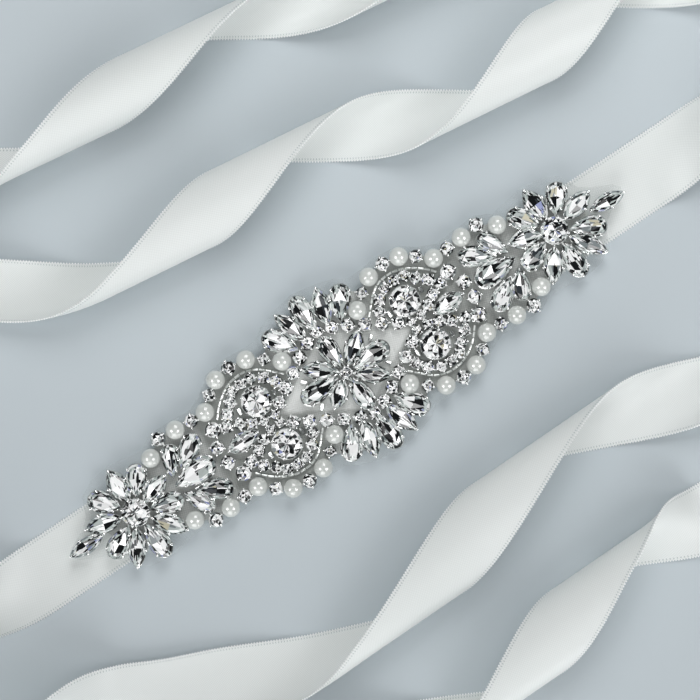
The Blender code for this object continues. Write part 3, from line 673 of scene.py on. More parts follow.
# Outlines and paths: x and y, in the upper right quarter.
EDGING_PATH = (
    (18.6, 12.4), (21.6, 15.4), (24.2, 17.8), (27.0, 19.4), (30.0, 20.1), (33.6, 20.0), (36.6, 19.3),
    (39.4, 17.9), (42.0, 16.1), (44.2, 14.1), (45.8, 12.3),
)
NET_EDGE = (
    (101.0, 0.0), (99.6, 6.0), (95.8, 10.6), (90.4, 13.0), (84.0, 12.6), (77.4, 12.2), (72.6, 14.6),
    (66.6, 17.4), (60.3, 17.4), (54.0, 16.4), (48.8, 17.0), (43.6, 20.6), (38.4, 23.6), (32.5, 24.8),
    (25.9, 23.6),
    (20.4, 20.6), (17.6, 23.4), (13.6, 25.4), (7.4, 27.4), (0.0, 28.2),
)
BACKING_EDGE = (
    (117.0, 0.0), (115.0, 2.6), (108.5, 5.6), (104.5, 8.6), (101.4, 15.6), (95.5, 18.4), (88.0, 19.6),
    (80.5, 18.4), (74.5, 17.6), (69.0, 20.6), (60.3, 20.4), (52.5, 19.8), (46.6, 22.4), (40.8, 26.8),
    (32.5, 28.0), (24.4, 27.2), (19.5, 27.2), (15.5, 29.8), (8.6, 32.0), (0.0, 33.6),
)


def skewed(x, y):
    return x + SKEW_X_BY_Y * y, y + SKEW_Y_BY_X * x + APPLIQUE_Y


print("the applique's right tip lies at", [round(part, 2) for part in skewed(BACKING_EDGE[0][0], 0.0)])

# %% [markdown]
# ## One outline for each cut
# A round, a pear and a navette all come from one rule with the angle as its input, at length 1 and
# width 1. The stone's facets and the metal cup round it then share the same outline.

# %% Outlines of the cuts
CUTS = ("round", "navette", "pear")
# Brings the pear's width to 1, within a hundredth.
PEAR_WIDEST = 0.7698
# Where along its length a cut's rings close in.
HEART = {"round": 0.0, "navette": 0.0, "pear": 0.07}
# The higher the power, the more pointed the end.
NAVETTE_POINT, PEAR_POINT = 0.75, 0.9


def outline(cut, angle):
    x = 0.5 * cos(angle)
    if cut == "round":
        return x, 0.5 * sin(angle)
    if cut == "navette":
        return x, 0.5 * sin(angle) * abs(sin(angle)) ** NAVETTE_POINT
    return x, 0.5 * sin(angle) * abs(cos(0.5 * angle)) ** PEAR_POINT / PEAR_WIDEST ** PEAR_POINT


def ring(cut, size, height, count, shift=0.0):
    points = []
    for k in range(count):
        x, y = outline(cut, tau * (k + shift) / count)
        points.append((HEART[cut] * (1.0 - size) + x * size, y * size, height))
    return points


print("width of the pear, of 1:", max(round(2 * outline("pear", radians(a))[1], 3) for a in range(180)))

# %% [markdown]
# ## Faceted stones
# A foil-backed crystal shows two layers at once: the facets of its crown, and the mirror facets
# of its back seen through the table. Here the table is a shallow hollow of facets with no slow glass,
# and the hard blocks of black and white that the facets reflect are painted into their colour as
# painted reflections. Heights are shares of the height that the stone is given in its group, counted
# from its base. The finish needs to know where it is on a stone, so each stone also carries its own
# coordinates, which facets belong to the table, and how much of the painted reflection of the back
# shows through.

# %% Cut a stone
GIRDLE_AT, RIM_AT, TABLE_AT, BREAK_AT, BACK_AT = 0.72, 0.85, 0.95, 0.88, 0.80
BASE_AT, BASE_SIZE = 0.10, 0.80
RIM_SIZE, BREAK_SIZE = 0.84, 0.32
# Columns: cut, main facets, size of the table, how the table is divided, and the share of the
# painted reflection of the back's slim mirror facets that shows through the crown and through the
# table.
STONES = (
    ("round", 10, 0.60, "rays", 0.45, 0.45),
    ("navette", 8, 0.66, "quarters", 0.6, 0.4),
    ("pear", 8, 0.66, "quarters", 0.6, 0.4),
    ("round", 6, 0.58, "rays", 0.0, 0.0),
)


def cut_stone(cut, n, table_size, division, through_crown, through_table):
    points = ring(cut, BASE_SIZE, BASE_AT, 2 * n) + ring(cut, 1.0, GIRDLE_AT, 2 * n)
    points += ring(cut, RIM_SIZE, RIM_AT, 2 * n) + ring(cut, table_size, TABLE_AT, n)
    points += [(HEART[cut], 0.0, BACK_AT)] + ring(cut, BREAK_SIZE, BREAK_AT, n, 0.5)
    girdle, rim, table, back, inner = 2 * n, 4 * n, 6 * n, 7 * n, 7 * n + 1
    crown = [tuple(range(2 * n))[::-1]]
    for k in range(2 * n):
        after = (k + 1) % (2 * n)
        crown.append((k, after, girdle + after, girdle + k))
        crown.append((girdle + k, girdle + after, rim + after, rim + k))
    for k in range(n):
        tip, next_rim = rim + 2 * k + 1, rim + (2 * k + 2) % (2 * n)
        after = table + (k + 1) % n
        crown += [(table + k, rim + 2 * k, tip), (table + k, tip, after), (after, tip, next_rim)]
    window = []
    if division == "rays":
        for k in range(n):
            here, after, before = table + k, table + (k + 1) % n, inner + (k - 1) % n
            window += [(here, after, inner + k), (here, inner + k, back), (here, back, before)]
    else:
        points = points[:inner]
        window = [(table + k, table + k + 1, table + (k + 2) % n, back) for k in range(0, n, 2)]
    shape = hidden_shape(f"cut_{cut}_{n}", points, crown + window)
    # A stone with its table in quarters gets livelier painted reflections in its table than in its crown.
    # A rayed one is all alike.
    zone = 0.0 if division == "quarters" else 1.0
    zones = [zone] * len(crown) + [1.0] * len(window)
    shares = [through_crown] * len(crown) + [through_table] * len(window)
    store(shape.data, "window", "FLOAT", "FACE", zones)
    store(shape.data, "streaky", "FLOAT", "FACE", shares)
    store(shape.data, "place", "FLOAT_VECTOR", "POINT", [part for point in points for part in point])
    return shape


stones = [cut_stone(*row) for row in STONES]
print("facets on one stone:", len(stones[0].data.polygons))

# %% [markdown]
# ## Cups, claws, pearls and bugle beads
# Each stone sits in a pressed cup of silver-plated brass, held by claws bent over its edge. The cup
# is a thin closed wall with the stone's own outline. Claws and pearls are rounded grains, and a bugle
# bead is a short cut of tube with an open bore.

# %% Shapes of the cups, claws and beads
# Columns: size, height. From the edge of the base, up the outside, over the lip and down inside.
CUP_PROFILE = ((0.82, 0.0), (0.96, 0.25), (1.05, 0.50), (1.06, 0.68), (1.0, 0.73), (0.94, 0.60))
# Sides to a cup.
LARGE_CUP, SMALL_CUP = 28, 12


def walls(faces, levels, count, closed=False):
    """Add the four-cornered faces between rings of points, one ring above another."""
    for level in range(levels if closed else levels - 1):
        low, high = level * count, (level + 1) % levels * count
        for k in range(count):
            after = (k + 1) % count
            faces.append((low + k, low + after, high + after, high + k))


def cup(cut, count):
    points = [point for size, height in CUP_PROFILE for point in ring(cut, size, height, count)]
    last = (len(CUP_PROFILE) - 1) * count
    faces = [tuple(range(count))[::-1], tuple(range(last, last + count))]
    walls(faces, len(CUP_PROFILE), count)
    return hidden_shape(f"cup_{cut}_{count}", points, faces)


def bead_tube(sides=8, bore=0.28):
    """A short tube of length 1 along X and diameter 1, open through the middle."""
    points, faces = [], []
    for x, radius in ((-0.5, 0.5), (0.5, 0.5), (0.5, bore), (-0.5, bore)):
        points += [(x, radius * cos(tau * k / sides), radius * sin(tau * k / sides)) for k in range(sides)]
    walls(faces, 4, sides, closed=True)
    # The ring order runs inwards here, so each face is turned over.
    return hidden_shape("bead_tube", points, [(a, d, c, b) for a, b, c, d in faces])


cups = [cup(cut, LARGE_CUP) for cut in CUTS] + [cup("round", SMALL_CUP)]
claw = grain("claw", 2)
pearl_shape = grain("pearl", 4)
bugle = bead_tube()
print("faces on a large cup:", len(cups[0].data.polygons))

# %% [markdown]
# ## One tree for everything that is set on the net
# A row of a table becomes a point with its kind, turn and size as named values. The tree picks the
# shape by its kind, places and turns it, and gives every facet a random value from a fixed seed,
# which the crystal finish turns into a painted reflection.

# %% Tree that places shapes on points
KINDS = 6


def placing_tree():
    shape_inputs = {f"Shape {kind}": "Object" for kind in range(KINDS)}
    tree, given = new_tree("Shapes on points", {
        "Points": "Geometry", **shape_inputs, "Finish": "Material", "Seed": "Int",
    })
    kind_of, turn, size = (
        add_node(tree, "GeometryNodeInputNamedAttribute", {"Name": name}, data_type=kind).outputs[0]
        for name, kind in (("kind", "INT"), ("turn", "FLOAT_VECTOR"), ("size", "FLOAT_VECTOR"))
    )
    joined = add_node(tree, "GeometryNodeJoinGeometry")
    for kind in range(KINDS):
        here = add_node(tree, "FunctionNodeCompare", {
            2: kind_of, 3: kind,
        }, data_type="INT", operation="EQUAL")
        shape = add_node(tree, "GeometryNodeObjectInfo", {"Object": given[f"Shape {kind}"]})
        placed = add_node(tree, "GeometryNodeInstanceOnPoints", {
            "Points": given["Points"], "Selection": here.outputs[0],
            "Instance": shape.outputs["Geometry"], "Rotation": turn, "Scale": size,
        })
        tree.links.new(placed.outputs[0], joined.inputs[0])
    real = add_node(tree, "GeometryNodeRealizeInstances", {"Geometry": joined.outputs[0]})
    number = add_node(tree, "GeometryNodeInputIndex")
    chance = add_node(tree, "FunctionNodeRandomValue", {
        "ID": number.outputs[0], "Seed": given["Seed"],
    }, data_type="FLOAT")
    toned = add_node(tree, "GeometryNodeStoreNamedAttribute", {
        "Geometry": real.outputs[0], "Name": "tone", "Value": chance.outputs[1],
    }, data_type="FLOAT", domain="FACE")
    hand_out(tree, toned.outputs[0], given["Finish"])
    return tree


shapes_on_points = placing_tree()
print("nodes in the placing tree:", len(shapes_on_points.nodes))

# %% [markdown]
# ## From rows of numbers to a piece
# The placing tree wants bare points in metres with a kind, a turn and a size on each. This helper
# turns rows in millimetres into such points and runs the tree on them.

# %% Turn table rows into a piece
def placed_piece(name, rows, shapes, finish, seed):
    """Rows: kind, x, y, z, turn round Z, then size along, across and up, all in millimetres."""
    source = point_object(
        f"{name}_points", [(x * MM, y * MM, z * MM) for _, x, y, z, *_ in rows],
        kinds=[row[0] for row in rows],
        turn=[(0.0, 0.0, row[4]) for row in rows],
        size=[tuple(s * MM for s in row[5:8]) for row in rows],
    )
    inputs = {f"Shape {kind}": shape for kind, shape in enumerate(shapes)}
    return grown_by(shapes_on_points, name, source, Finish=finish, Seed=seed, **inputs)


print("kinds of shape that a row can name:", KINDS)

# %% [markdown]
# ## Crystal
# A real stone throws back a different tone from every facet: white, clear grey or near black, with a
# rare flash of violet or straw. Here these reflections are painted: each facet has a random value,
# and a table of bands turns the value into a painted reflection in its colour. The crown is calmer
# than the table, so each has bands of its own. The painted reflections of the back's slim mirror
# facets also show through in places: a block pattern in the stone's own coordinates cuts them out,
# and it starts at another point for every facet, so that no two look alike.

# %% Crystal finish
# Columns: where the band starts, as a share of the facets, and its colour, a painted reflection.
TABLE_PAINTED_REFLECTIONS = (
    (0.00, "#020406"), (0.34, "#30353a"), (0.40, "#858c8e"), (0.46, "#bcc3c1"), (0.53, "#dde2e0"),
    (0.60, "#ffffff"), (0.965, "#8f97c4"), (0.98, "#cdc8b0"), (0.985, "#ffffff"),
)
CROWN_PAINTED_REFLECTIONS = (
    (0.00, "#030506"), (0.29, "#3a4143"), (0.35, "#7f8888"), (0.43, "#aab3b1"), (0.56, "#d0d8d5"),
    (0.73, "#fdfefd"), (0.98, "#a3a8c6"),
)
# Painted reflections of the back's facets over a stone's length and width, and how far apart two
# facets' patterns start.
BACK_FACETS = (3.4, 8.0, 0.0)
BACK_APART = 40.0


def banded(tree, value, tones):
    """A value turned into flat bands of colour."""
    ramp = add_node(tree, "ShaderNodeValToRGB", {"Fac": value})
    bands = ramp.color_ramp
    bands.interpolation = "CONSTANT"
    for index, (start, colour) in enumerate(tones):
        band = bands.elements[index] if index < 2 else bands.elements.new(start)
        band.position = start
        band.color = linear(colour)
    return ramp.outputs["Color"]


def crystal_finish():
    # Lead-free crystal with a silver foil back, cut and polished: hard glossy facets, with the tones
    # that they reflect painted into their colour.
    material, tree, shader = new_finish(
        "foiled_cut_crystal", Roughness=0.12, Coat_Weight=1.0, Coat_Roughness=0.02, Coat_IOR=1.55,
    )
    tone, window, streaky, place = (
        add_node(tree, "ShaderNodeAttribute", attribute_name=name).outputs[output]
        for name, output in (("tone", "Fac"), ("window", "Fac"), ("streaky", "Fac"), ("place", "Vector"))
    )
    slim = add_node(tree, "ShaderNodeVectorMath", {0: place, 1: BACK_FACETS}, operation="MULTIPLY")
    back = add_node(tree, "ShaderNodeTexVoronoi", {
        "Vector": slim.outputs[0], "W": worked(tree, "MULTIPLY", tone, BACK_APART), "Scale": 1.0,
    }, voronoi_dimensions="4D", distance="MANHATTAN")
    chance = add_node(tree, "ShaderNodeSeparateColor", {"Color": back.outputs["Color"]}).outputs
    seen = add_node(tree, "ShaderNodeMix", {
        "Factor": worked(tree, "LESS_THAN", chance[0], streaky), "A": tone, "B": chance[1],
    }, data_type="FLOAT").outputs[0]
    # Painted reflections: the banded tones go into the base colour of each facet.
    colour = mixed(tree, window, banded(tree, seen, CROWN_PAINTED_REFLECTIONS), banded(tree, seen, TABLE_PAINTED_REFLECTIONS))
    wire(tree, shader, Base_Color=colour)
    return material


crystal = crystal_finish()
print("bands of tone on crown and table:", len(CROWN_PAINTED_REFLECTIONS), len(TABLE_PAINTED_REFLECTIONS))

# %% [markdown]
# ## Silver and pearl
# The cups are a real metal, hazed a little by the plating bath. An imitation pearl is a moulded bead
# dipped in lacquer: a milky body under a clear skin, which gives each light a soft round spot.

# %% Silver and pearl finishes
def silver_finish():
    # Brass pressed and silver plated: bright, slightly soft from the plating bath.
    material, tree, shader = new_finish("silver_plated_brass", Metallic=1.0, Base_Color=linear("#d9dbda"))
    wire(tree, shader, Roughness=ranged(tree, cloudy(tree, 900.0, 2.0), 0.0, 1.0, 0.12, 0.34))
    return material


def pearl_finish():
    # Imitation pearl, a moulded bead dipped in pearl lacquer: milky, with a clear glossy skin.
    material, tree, shader = new_finish(
        "pearl_lacquer", Roughness=0.30, Specular_IOR_Level=0.1,
        Coat_Weight=1.0, Coat_Roughness=0.15, Coat_IOR=1.9,
    )
    body = mixed(tree, cloudy(tree, 260.0, 3.0), linear("#cbd0cc"), linear("#e3e5e1"))
    wire(tree, shader, Base_Color=body)
    return material


silver = silver_finish()
pearl_lacquer = pearl_finish()
print("finishes:", silver.name, pearl_lacquer.name)

# %% [markdown]
# ## Net, organza and lined glass
# The net is a stiff grey weave over felt, in three zones. It is plain mesh for the most part. Under
# the scrolls it is darker, a painted shade that stands for the shade between the close-set stones.
# Inside the chain's diamond it is single, and the white satin shows through. The zones are read from
# the distance to the middle. Organza is clear and open, and the bugle beads are glass with a
# silvered bore.

# %% Net, organza and glass finishes
NET_CELL = 0.9 * MM
# Half length and half width of the diamond, the ends of the band of painted shade under the scrolls,
# its soft edge, and the strength of the zones.
NET_DIAMOND = (29.0 * MM, 17.0 * MM)
SHADE_BAND_FROM, SHADE_BAND_TO, SHADE_BAND_EDGE = 18.0 * MM, 56.0 * MM, 2.0 * MM
ZONE_STRENGTH = 0.6


def net_finish():
    # Stiffened polyester net over felt, woven: a fine open mesh in silver grey.
    material, tree, shader = new_finish(
        "stiff_silver_net", Roughness=0.55, Sheen_Weight=0.3, Sheen_Roughness=0.4,
    )
    place = add_node(tree, "ShaderNodeTexCoord").outputs["Object"]
    split = add_node(tree, "ShaderNodeSeparateXYZ", {"Vector": place})
    x, y = split.outputs["X"], split.outputs["Y"]
    mesh = worked(tree, "MULTIPLY", ribs(tree, x, NET_CELL), ribs(tree, y, NET_CELL))
    woven = mixed(tree, ranged(tree, mesh, -1.0, 1.0), linear("#b6b9b7"), linear("#d6d8d6"))
    off_x, off_y = worked(tree, "ABSOLUTE", x), worked(tree, "ABSOLUTE", y)
    share_x = worked(tree, "DIVIDE", off_x, NET_DIAMOND[0])
    share_y = worked(tree, "DIVIDE", off_y, NET_DIAMOND[1])
    single = ranged(tree, worked(tree, "ADD", share_x, share_y), 1.0, 0.9)
    # Painted shade under the scrolls, and the pale satin seen through the single net in the diamond.
    shade_or_satin_colour = mixed(tree, single, linear("#8d918d"), linear("#f2f4f2"))
    inside = ranged(tree, off_x, SHADE_BAND_TO, SHADE_BAND_TO - SHADE_BAND_EDGE)
    outside = ranged(tree, off_x, SHADE_BAND_FROM, SHADE_BAND_FROM + SHADE_BAND_EDGE)
    zone = worked(tree, "MAXIMUM", worked(tree, "MULTIPLY", inside, outside), single)
    colour = mixed(tree, worked(tree, "MULTIPLY", zone, ZONE_STRENGTH), woven, shade_or_satin_colour)
    bump = add_node(tree, "ShaderNodeBump", {"Height": mesh, "Strength": 0.4, "Distance": 0.08 * MM})
    wire(tree, shader, Base_Color=colour, Normal=bump.outputs[0])
    return material


silver_net = net_finish()
# Clear organza, a single open layer: it barely tints what lies under it.
organza, _, _ = new_finish(
    "clear_organza", Base_Color=linear("#e9eeee"), Roughness=0.25, Alpha=0.06,
)
# Glass tube drawn and cut short, silvered inside: bright, with a hard gloss.
lined_glass, _, _ = new_finish(
    "silver_lined_glass", Base_Color=linear("#e2e6e3"), Roughness=0.28, Metallic=0.3, Coat_Weight=0.6,
)
print("finishes:", silver_net.name, organza.name, lined_glass.name)

# %% [markdown]
# ## Net and organza under the stones
# The stones are sewn to a stiff net cut to the applique's outline. A clear organza layer under it
# shows as a narrow rim all round. Both are flat sheets, closed to a thin wall.

# %% Cut the two sheets
ORGANZA_LOW, ORGANZA_TOP = 0.48, 0.85
NET_LOW = 0.9


def mirrored(quarter):
    """The whole outline from its upper right quarter, which runs from the X axis to the Y axis."""
    half = list(quarter) + [(-x, y) for x, y in quarter[-2::-1]]
    return half + [(x, -y) for x, y in half[-2:0:-1]]


def flat_sheet(name, edge, low, top, finish):
    count = len(edge)
    places = [skewed(x, y) for x, y in edge]
    shell = bmesh.new()
    verts = [shell.verts.new((x * MM, y * MM, z * MM)) for z in (low, top) for x, y in places]
    shell.faces.new(verts[:count][::-1])
    shell.faces.new(verts[count:])
    for k in range(count):
        after = (k + 1) % count
        shell.faces.new((verts[k], verts[after], verts[count + after], verts[count + k]))
    bmesh.ops.triangulate(shell, faces=[face for face in shell.faces if len(face.verts) > 4])
    bmesh.ops.recalc_face_normals(shell, faces=shell.faces)
    mesh = bpy.data.meshes.new(name)
    shell.to_mesh(mesh)
    shell.free()
    mesh.materials.append(finish)
    next_places = places[1:] + places[:1]
    area = 0.5 * abs(sum(ax * by - bx * ay for (ax, ay), (bx, by) in zip(places, next_places)))
    return in_scene(name, mesh), area * MM * MM


net, net_area = flat_sheet("net_backing", mirrored(NET_EDGE), NET_LOW, NET_TOP, silver_net)
film, film_area = flat_sheet("organza_layer", mirrored(BACKING_EDGE), ORGANZA_LOW, ORGANZA_TOP, organza)
print("net and organza, square centimetres:", round(net_area * 1e4), round(film_area * 1e4))

# %% [markdown]
# ## One group for each part of the applique
# A group collects rows for the placing tree: stones, then the cups and claws that hold them, and
# pearls. A pear or a navette is set between two ends, and reaches a little under its neighbours at
# the root, as overlapped petals do. Small round stones are each turned on, so that no two look alike.

# %% A group of stones, cups, claws and pearls
CLAW_ANGLES = {"round": (45, 135, 225, 315), "navette": (0, 180, 82, 278), "pear": (48, 312, 128, 232)}
# A claw is longer than it is wide or high. It grows with the stone, up to a limit.
CLAW_SHAPE = (1.25, 0.75, 0.6)
CLAW_BY_WIDTH, CLAW_LEAST, CLAW_MOST = 0.08, 0.68, 1.25
# Where a claw bends over: share of the stone's outline, and share of its height.
CLAW_REACH, CLAW_LIP = 0.97, 0.80
LARGE_BASE = 2.35
PEARL_BASE = 2.6
SMALL_STONE = 6.0
SMALL_STONE_TURN = 37.0
ROOT_UNDER = 1.2
PETAL_FULLNESS = 1.12
# Kinds of shape after the three large cuts: the small round stone or its cup, the claw, the bugle.
SMALL_KIND, CLAW_KIND, BUGLE_KIND = 3, 4, 5


class Group:
    """Crystals, metal parts and pearls that belong to one solid."""

    def __init__(self, name):
        self.name = name
        self.crystals, self.metal, self.pearls = [], [], []

    def stone(self, cut, root, tip, width, top=LARGE_TOP, base=LARGE_BASE):
        """Set one stone between two ends of the level layout."""
        ax, ay = skewed(*root)
        bx, by = skewed(*tip)
        length = hypot(bx - ax, by - ay)
        if cut != "round":
            ax, ay = ax - ROOT_UNDER * (bx - ax) / length, ay - ROOT_UNDER * (by - ay) / length
            length += ROOT_UNDER
            width *= PETAL_FULLNESS
        turn = atan2(by - ay, bx - ax)
        x, y = 0.5 * (ax + bx), 0.5 * (ay + by)
        kind = CUTS.index(cut)
        if cut == "round" and width < SMALL_STONE:
            kind = SMALL_KIND
            turn += radians(SMALL_STONE_TURN * len(self.crystals))
        row = (kind, x, y, base, turn, length, width, top - base)
        self.crystals.append(row)
        self.metal.append(row)
        claw_size = min(CLAW_MOST, CLAW_BY_WIDTH * width + CLAW_LEAST)
        lip = base + CLAW_LIP * (top - base)
        for angle in CLAW_ANGLES[cut]:
            u, v = outline(cut, radians(angle))
            u, v = CLAW_REACH * u * length, CLAW_REACH * v * width
            cx = x + u * cos(turn) - v * sin(turn)
            cy = y + u * sin(turn) + v * cos(turn)
            size = [share * claw_size for share in CLAW_SHAPE]
            self.metal.append((CLAW_KIND, cx, cy, lip, turn + atan2(v, u), *size))

    def round_stone(self, x, y, diameter, top, base=LARGE_BASE):
        self.stone("round", (x - 0.5 * diameter, y), (x + 0.5 * diameter, y), diameter, top, base)

    def pearl(self, x, y, diameter):
        px, py = skewed(x, y)
        self.pearls.append((0, px, py, PEARL_BASE + 0.5 * diameter, 0.0, diameter, diameter, diameter))

    def bugle(self, x, y, angle, width):
        """Set a loose bead, which is so small that the metal's finish serves for it."""
        px, py = skewed(x, y)
        height = NET_TOP + 0.5 * width
        self.metal.append((BUGLE_KIND, px, py, height, angle, LOOSE_BUGLE, width, width))


print("kinds of shape:", len(CUTS), "large cuts, then", SMALL_KIND, CLAW_KIND, BUGLE_KIND)

# %% [markdown]
# ## Flowers, fans and clusters
# The flowers are rings of petals round a hub, so their tables hold angles and distances. The fans
# and clusters are stones between two ends. The side and half that a row is mirrored to are +1 or -1.

# %% Flowers, fans and clusters
def petals(group, hub_x, hub_y, table, side):
    for cut, angle, root, tip, width in table:
        dx, dy = side * cos(radians(angle)), sin(radians(angle))
        hx = side * hub_x
        group.stone(cut, (hx + root * dx, hub_y + root * dy), (hx + tip * dx, hub_y + tip * dy), width)


def end_flower(side, label):
    group = Group(f"flower_{label}")
    cut, left_angle, right_angle, root, tip, width = TIP_STONE
    tip_row = (cut, left_angle if side < 0 else right_angle, root, tip, width)
    petals(group, *END_FLOWER_AT, END_PETALS + (tip_row,), side)
    group.round_stone(side * END_FLOWER_AT[0], END_FLOWER_AT[1], *END_HUB)
    return group


def middle_flower():
    group = Group("flower_middle")
    petals(group, 0.0, 0.0, MIDDLE_PETALS, 1)
    group.round_stone(0.0, 0.0, *MIDDLE_HUB)
    return group


def between_ends(name, table, side_x, side_y):
    group = Group(name)
    for cut, ax, ay, bx, by, width in table:
        group.stone(cut, (side_x * ax, side_y * ay), (side_x * bx, side_y * by), width)
    return group


groups = [middle_flower()]
print("stones in the middle flower:", len(groups[0].crystals))

# %% [markdown]
# ## Scrolls, chain and borders
# These follow the same plan in every quarter, so each is written once and looped over the sides and
# halves. All the groups are then gathered, in the order in which they take their seeds.

# %% Scrolls, chain and borders
def scroll(side, label):
    group = Group(f"scroll_{label}")
    cut, ax, ay, bx, by, width = SCROLL_NAVETTE
    group.stone(cut, (side * ax, ay), (side * bx, by), width)
    for half in (-1, 1):
        x, y, diameter = SCROLL_ROUND
        group.round_stone(side * x, half * y, diameter, SCROLL_ROUND_TOP)
        for x, y, diameter in SCROLL_SMALL:
            group.round_stone(side * x, half * y, diameter, SCROLL_TOP)
        for x, y in SCROLL_BUGLES:
            group.bugle(side * x, half * y, 0.5 * pi, SCROLL_BUGLE_WIDTH)
    return group


def chain():
    group = Group("chain_frame")
    for side in (-1, 1):
        for half in (-1, 1):
            for x, y, diameter in CHAIN_STONES:
                group.round_stone(side * x, half * y, diameter, CHAIN_TOP)
            x, y = CHAIN_BUGLE
            group.bugle(side * x, half * y, half * side * 0.25 * pi, CHAIN_BUGLE_WIDTH)
    for half in (-1, 1):
        x, y, diameter = CHAIN_TIP
        group.round_stone(x, half * y, diameter, CHAIN_TOP)
    return group


def border(side, half, name):
    group = Group(name)
    for x, y in BORDER_PEARLS:
        group.pearl(side * x, half * y, PEARL)
    for x, y, diameter in BORDER_STONES:
        group.round_stone(side * x, half * y, diameter, BORDER_TOP)
    return group


groups.append(chain())
groups += [between_ends("fan_upper", FAN_STONES, 1, 1), between_ends("fan_lower", FAN_STONES, 1, -1)]
for side, label in ((-1, "left"), (1, "right")):
    groups += [
        end_flower(side, label),
        between_ends(f"cluster_{label}", CLUSTER_STONES, side, 1),
        scroll(side, label),
        border(side, 1, f"border_upper_{label}"),
        border(side, -1, f"border_lower_{label}"),
    ]
print("stones:", sum(len(g.crystals) for g in groups), "pearls:", sum(len(g.pearls) for g in groups))

# %% [markdown]
# ## Set the stones
# One run of the placing tree makes the crystals of a group, another its metal, and another its
# pearls. Each result stands for the group's solid.

# %% Build the crystals, cups and pearls
FIRST_SEED = 11
applique_pieces = []
for number, group in enumerate(groups):
    name, seed = group.name, FIRST_SEED + number
    made = [placed_piece(f"{name}_crystals", group.crystals, stones, crystal, seed)]
    made.append(placed_piece(f"{name}_settings", group.metal, cups + [claw, bugle], silver, 0))
    if group.pearls:
        made.append(placed_piece(f"{name}_pearls", group.pearls, [pearl_shape], pearl_lacquer, 0))
    applique_pieces.append((name, made))
print("applique pieces:", sum(len(made) for _, made in applique_pieces))

# %% [markdown]
# ## Bugle beads round the scrolls
# Short tubes of silver-lined glass are strung end to end along each scroll's outer edge, between
# the small stones and the pearls. The tree that set the picot loops spaces them along the path, and
# the function that joins the rows of the winding tables smooths the path.

# %% String the edging
BUGLE_SIZE = (1.95 * MM, 0.95 * MM, 0.95 * MM)
BUGLE_PITCH = 2.3 * MM
EDGING_HEIGHT = 3.6
PATH_STEP = 0.3


def smooth_line(path, step):
    """Points at even steps on a smooth curve through a path."""
    known = np.array(path)
    at = np.concatenate(([0.0], np.cumsum(np.hypot(*np.diff(known, axis=0).T))))
    fine = np.linspace(0.0, at[-1], int(at[-1] / step))
    return curve_through(at, known, np.gradient(known, at, axis=0), fine)


def edging(name, side):
    lines = []
    for half in (-1, 1):
        places = [skewed(side * x, half * y) for x, y in smooth_line(EDGING_PATH, PATH_STEP)]
        lines.append([(x * MM, y * MM, EDGING_HEIGHT * MM) for x, y in places])
    return grown_by(
        shapes_in_row, name, path_object(f"{name}_path", lines),
        Pitch=BUGLE_PITCH, Shape=bugle, Size=BUGLE_SIZE, Finish=lined_glass,
    )


edgings = [edging("bugles_left", -1), edging("bugles_right", 1)]
print("faces in the edgings:", [len(piece.data.polygons) for piece in edgings])

# %% [markdown]
# ## Clear away the copied shapes
# The shapes that the trees copied are no pieces of the sash, so they go.

# %% Remove the shapes
copied = stones + cups + [claw, pearl_shape, bugle, loop_shape]
for shape in copied:
    bpy.data.objects.remove(shape, do_unlink=True)
print("shapes removed:", len(copied))

# %% [markdown]
# ## Put every piece on the body
# Every piece rides on the one rigid body. The ribbon stands for all nine stretches of solid ribbon,
# and each solid that a piece stands for is hidden.

# %% Bodies and solids
RIBBON_NODES = (
    "ribbon_middle", "ribbon_left_bend", "ribbon_upper_run", "ribbon_upper_bend", "ribbon_upper_tail",
    "ribbon_right_bend", "ribbon_lower_run", "ribbon_lower_bend", "ribbon_lower_tail",
)
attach(ribbon, "root")
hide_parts(*RIBBON_NODES)
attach(picot, "root")
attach(net, "root")
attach(film, "root")
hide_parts("applique_backing")
for node, made in applique_pieces:
    for piece in made:
        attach(piece, "root")
        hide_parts(node)
for piece in edgings:
    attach(piece, "root")

# %% [markdown]
# ## A floor
# The sash lies on a plain pale floor. It is stage and no part of the sash.

# %% Floor
FLOOR_REACH = 3.0
floor_mesh = bpy.data.meshes.new("floor")
floor_corners = [(x * FLOOR_REACH, y * FLOOR_REACH, 0.0) for x, y in ((-1, -1), (1, -1), (1, 1), (-1, 1))]
floor_mesh.from_pydata(floor_corners, [], [(0, 1, 2, 3)])
# Matte painted board: an even pale grey that lets the white satin stand out.
matte, _, _ = new_finish("matte_pale_board", Base_Color=linear("#c3ccd1"), Roughness=0.9)
floor_mesh.materials.append(matte)
floor = in_scene("floor", floor_mesh)
print("floor, metres across:", 2.0 * FLOOR_REACH)

# %% [markdown]
# ## Light
# A large window light from the near side does most of the work. A small low light from the near
# right brightens the near edges of the wound ribbon, and a back and an overhead light keep the shade
# open. The overhead one stays out of reflections, or it would put a spot on every pearl. Two broad
# boxes at the sides shine in the facets, and two small lights that show in reflections alone give
# each pearl its twin sparks. All are placed by right and up in the camera's first view, as someone
# who stands at the camera would place them, and they stay there when other views are taken.

# %% Lights
ROLL = radians(33.0)
RIGHT_IN_VIEW = Vector((cos(ROLL), -sin(ROLL), 0.0))
UP_IN_VIEW = Vector((sin(ROLL), cos(ROLL), 0.0))
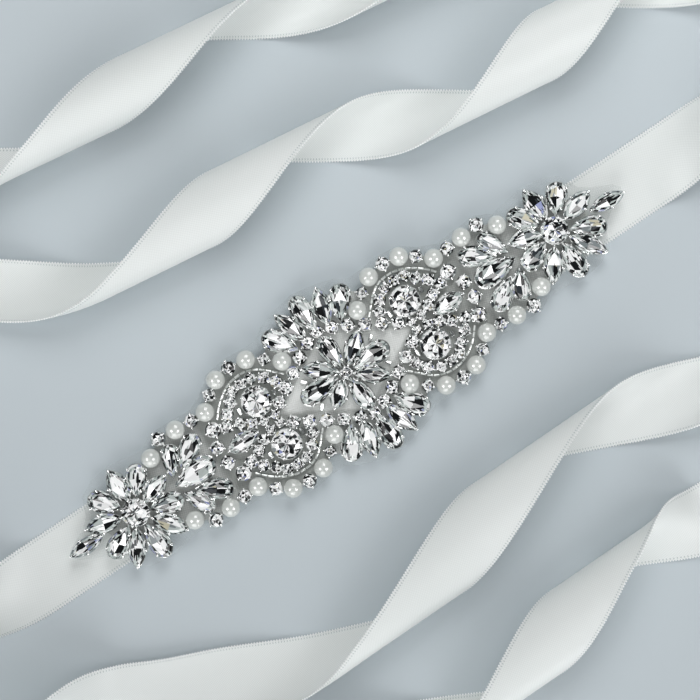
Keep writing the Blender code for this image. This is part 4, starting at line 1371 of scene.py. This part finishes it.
# Columns: name, right and up in the view, height, size, power.
LIGHTS = (
    ("window", -0.40, -3.00, 1.40, 2.60, 68.0),
    ("low", 1.15, -1.65, 0.20, 0.40, 6.5),
    ("back", 0.10, 0.60, 0.60, 0.50, 3.5),
    ("over", 0.00, 0.00, 1.60, 0.80, 2.6),
    ("left_box", -1.00, -0.32, 1.22, 1.00, 3.4),
    ("right_box", 1.00, -0.32, 1.22, 1.00, 3.4),
    ("left_glint", -1.00, -0.34, 1.20, 0.46, 9.5),
    ("right_glint", 1.00, -0.34, 1.20, 0.46, 9.5),
)
SKY_COLOUR, SKY_STRENGTH = "#dfe6ea", 0.13
for name, right, up, height, size, power in LIGHTS:
    lamp = bpy.data.lights.new(name, "AREA")
    lamp.energy = power
    lamp.size = size
    holder = in_scene(name, lamp)
    holder.location = RIGHT_IN_VIEW * right + UP_IN_VIEW * up + Vector((0.0, 0.0, height))
    holder.rotation_euler = (-holder.location).to_track_quat("-Z", "Y").to_euler()
    holder.visible_diffuse = not name.endswith("glint")
    holder.visible_glossy = name != "over"
world = bpy.data.worlds.new("studio")
world.use_nodes = True
sky = world.node_tree.nodes["Background"].inputs
sky["Color"].default_value = linear(SKY_COLOUR)
sky["Strength"].default_value = SKY_STRENGTH
bpy.context.scene.world = world
print("lights:", len(LIGHTS))

# %% [markdown]
# ## True tones
# White satin is to look white, so the picture is shown with its plain tones. A film-like curve would
# turn the brightest of them grey.

# %% True tones
bpy.context.scene.view_settings.view_transform = "Standard"
print("view transform:", bpy.context.scene.view_settings.view_transform)

# %% [markdown]
# ## Camera
# The camera looks straight down on the applique, turned so that the applique climbs to the right.

# %% Camera
CAMERA_HEIGHT = 0.584
LENS, SENSOR = 85.0, 36.0
NEAREST = 0.01
AIM = (0.00547, 0.00521)
camera_data = bpy.data.cameras.new("camera")
camera_data.lens = LENS
camera_data.sensor_width = SENSOR
camera_data.clip_start = NEAREST
camera = in_scene("camera", camera_data)
camera.location = (*AIM, CAMERA_HEIGHT)
camera.rotation_euler = (0.0, 0.0, -ROLL)
bpy.context.scene.camera = camera
print("camera over", AIM)
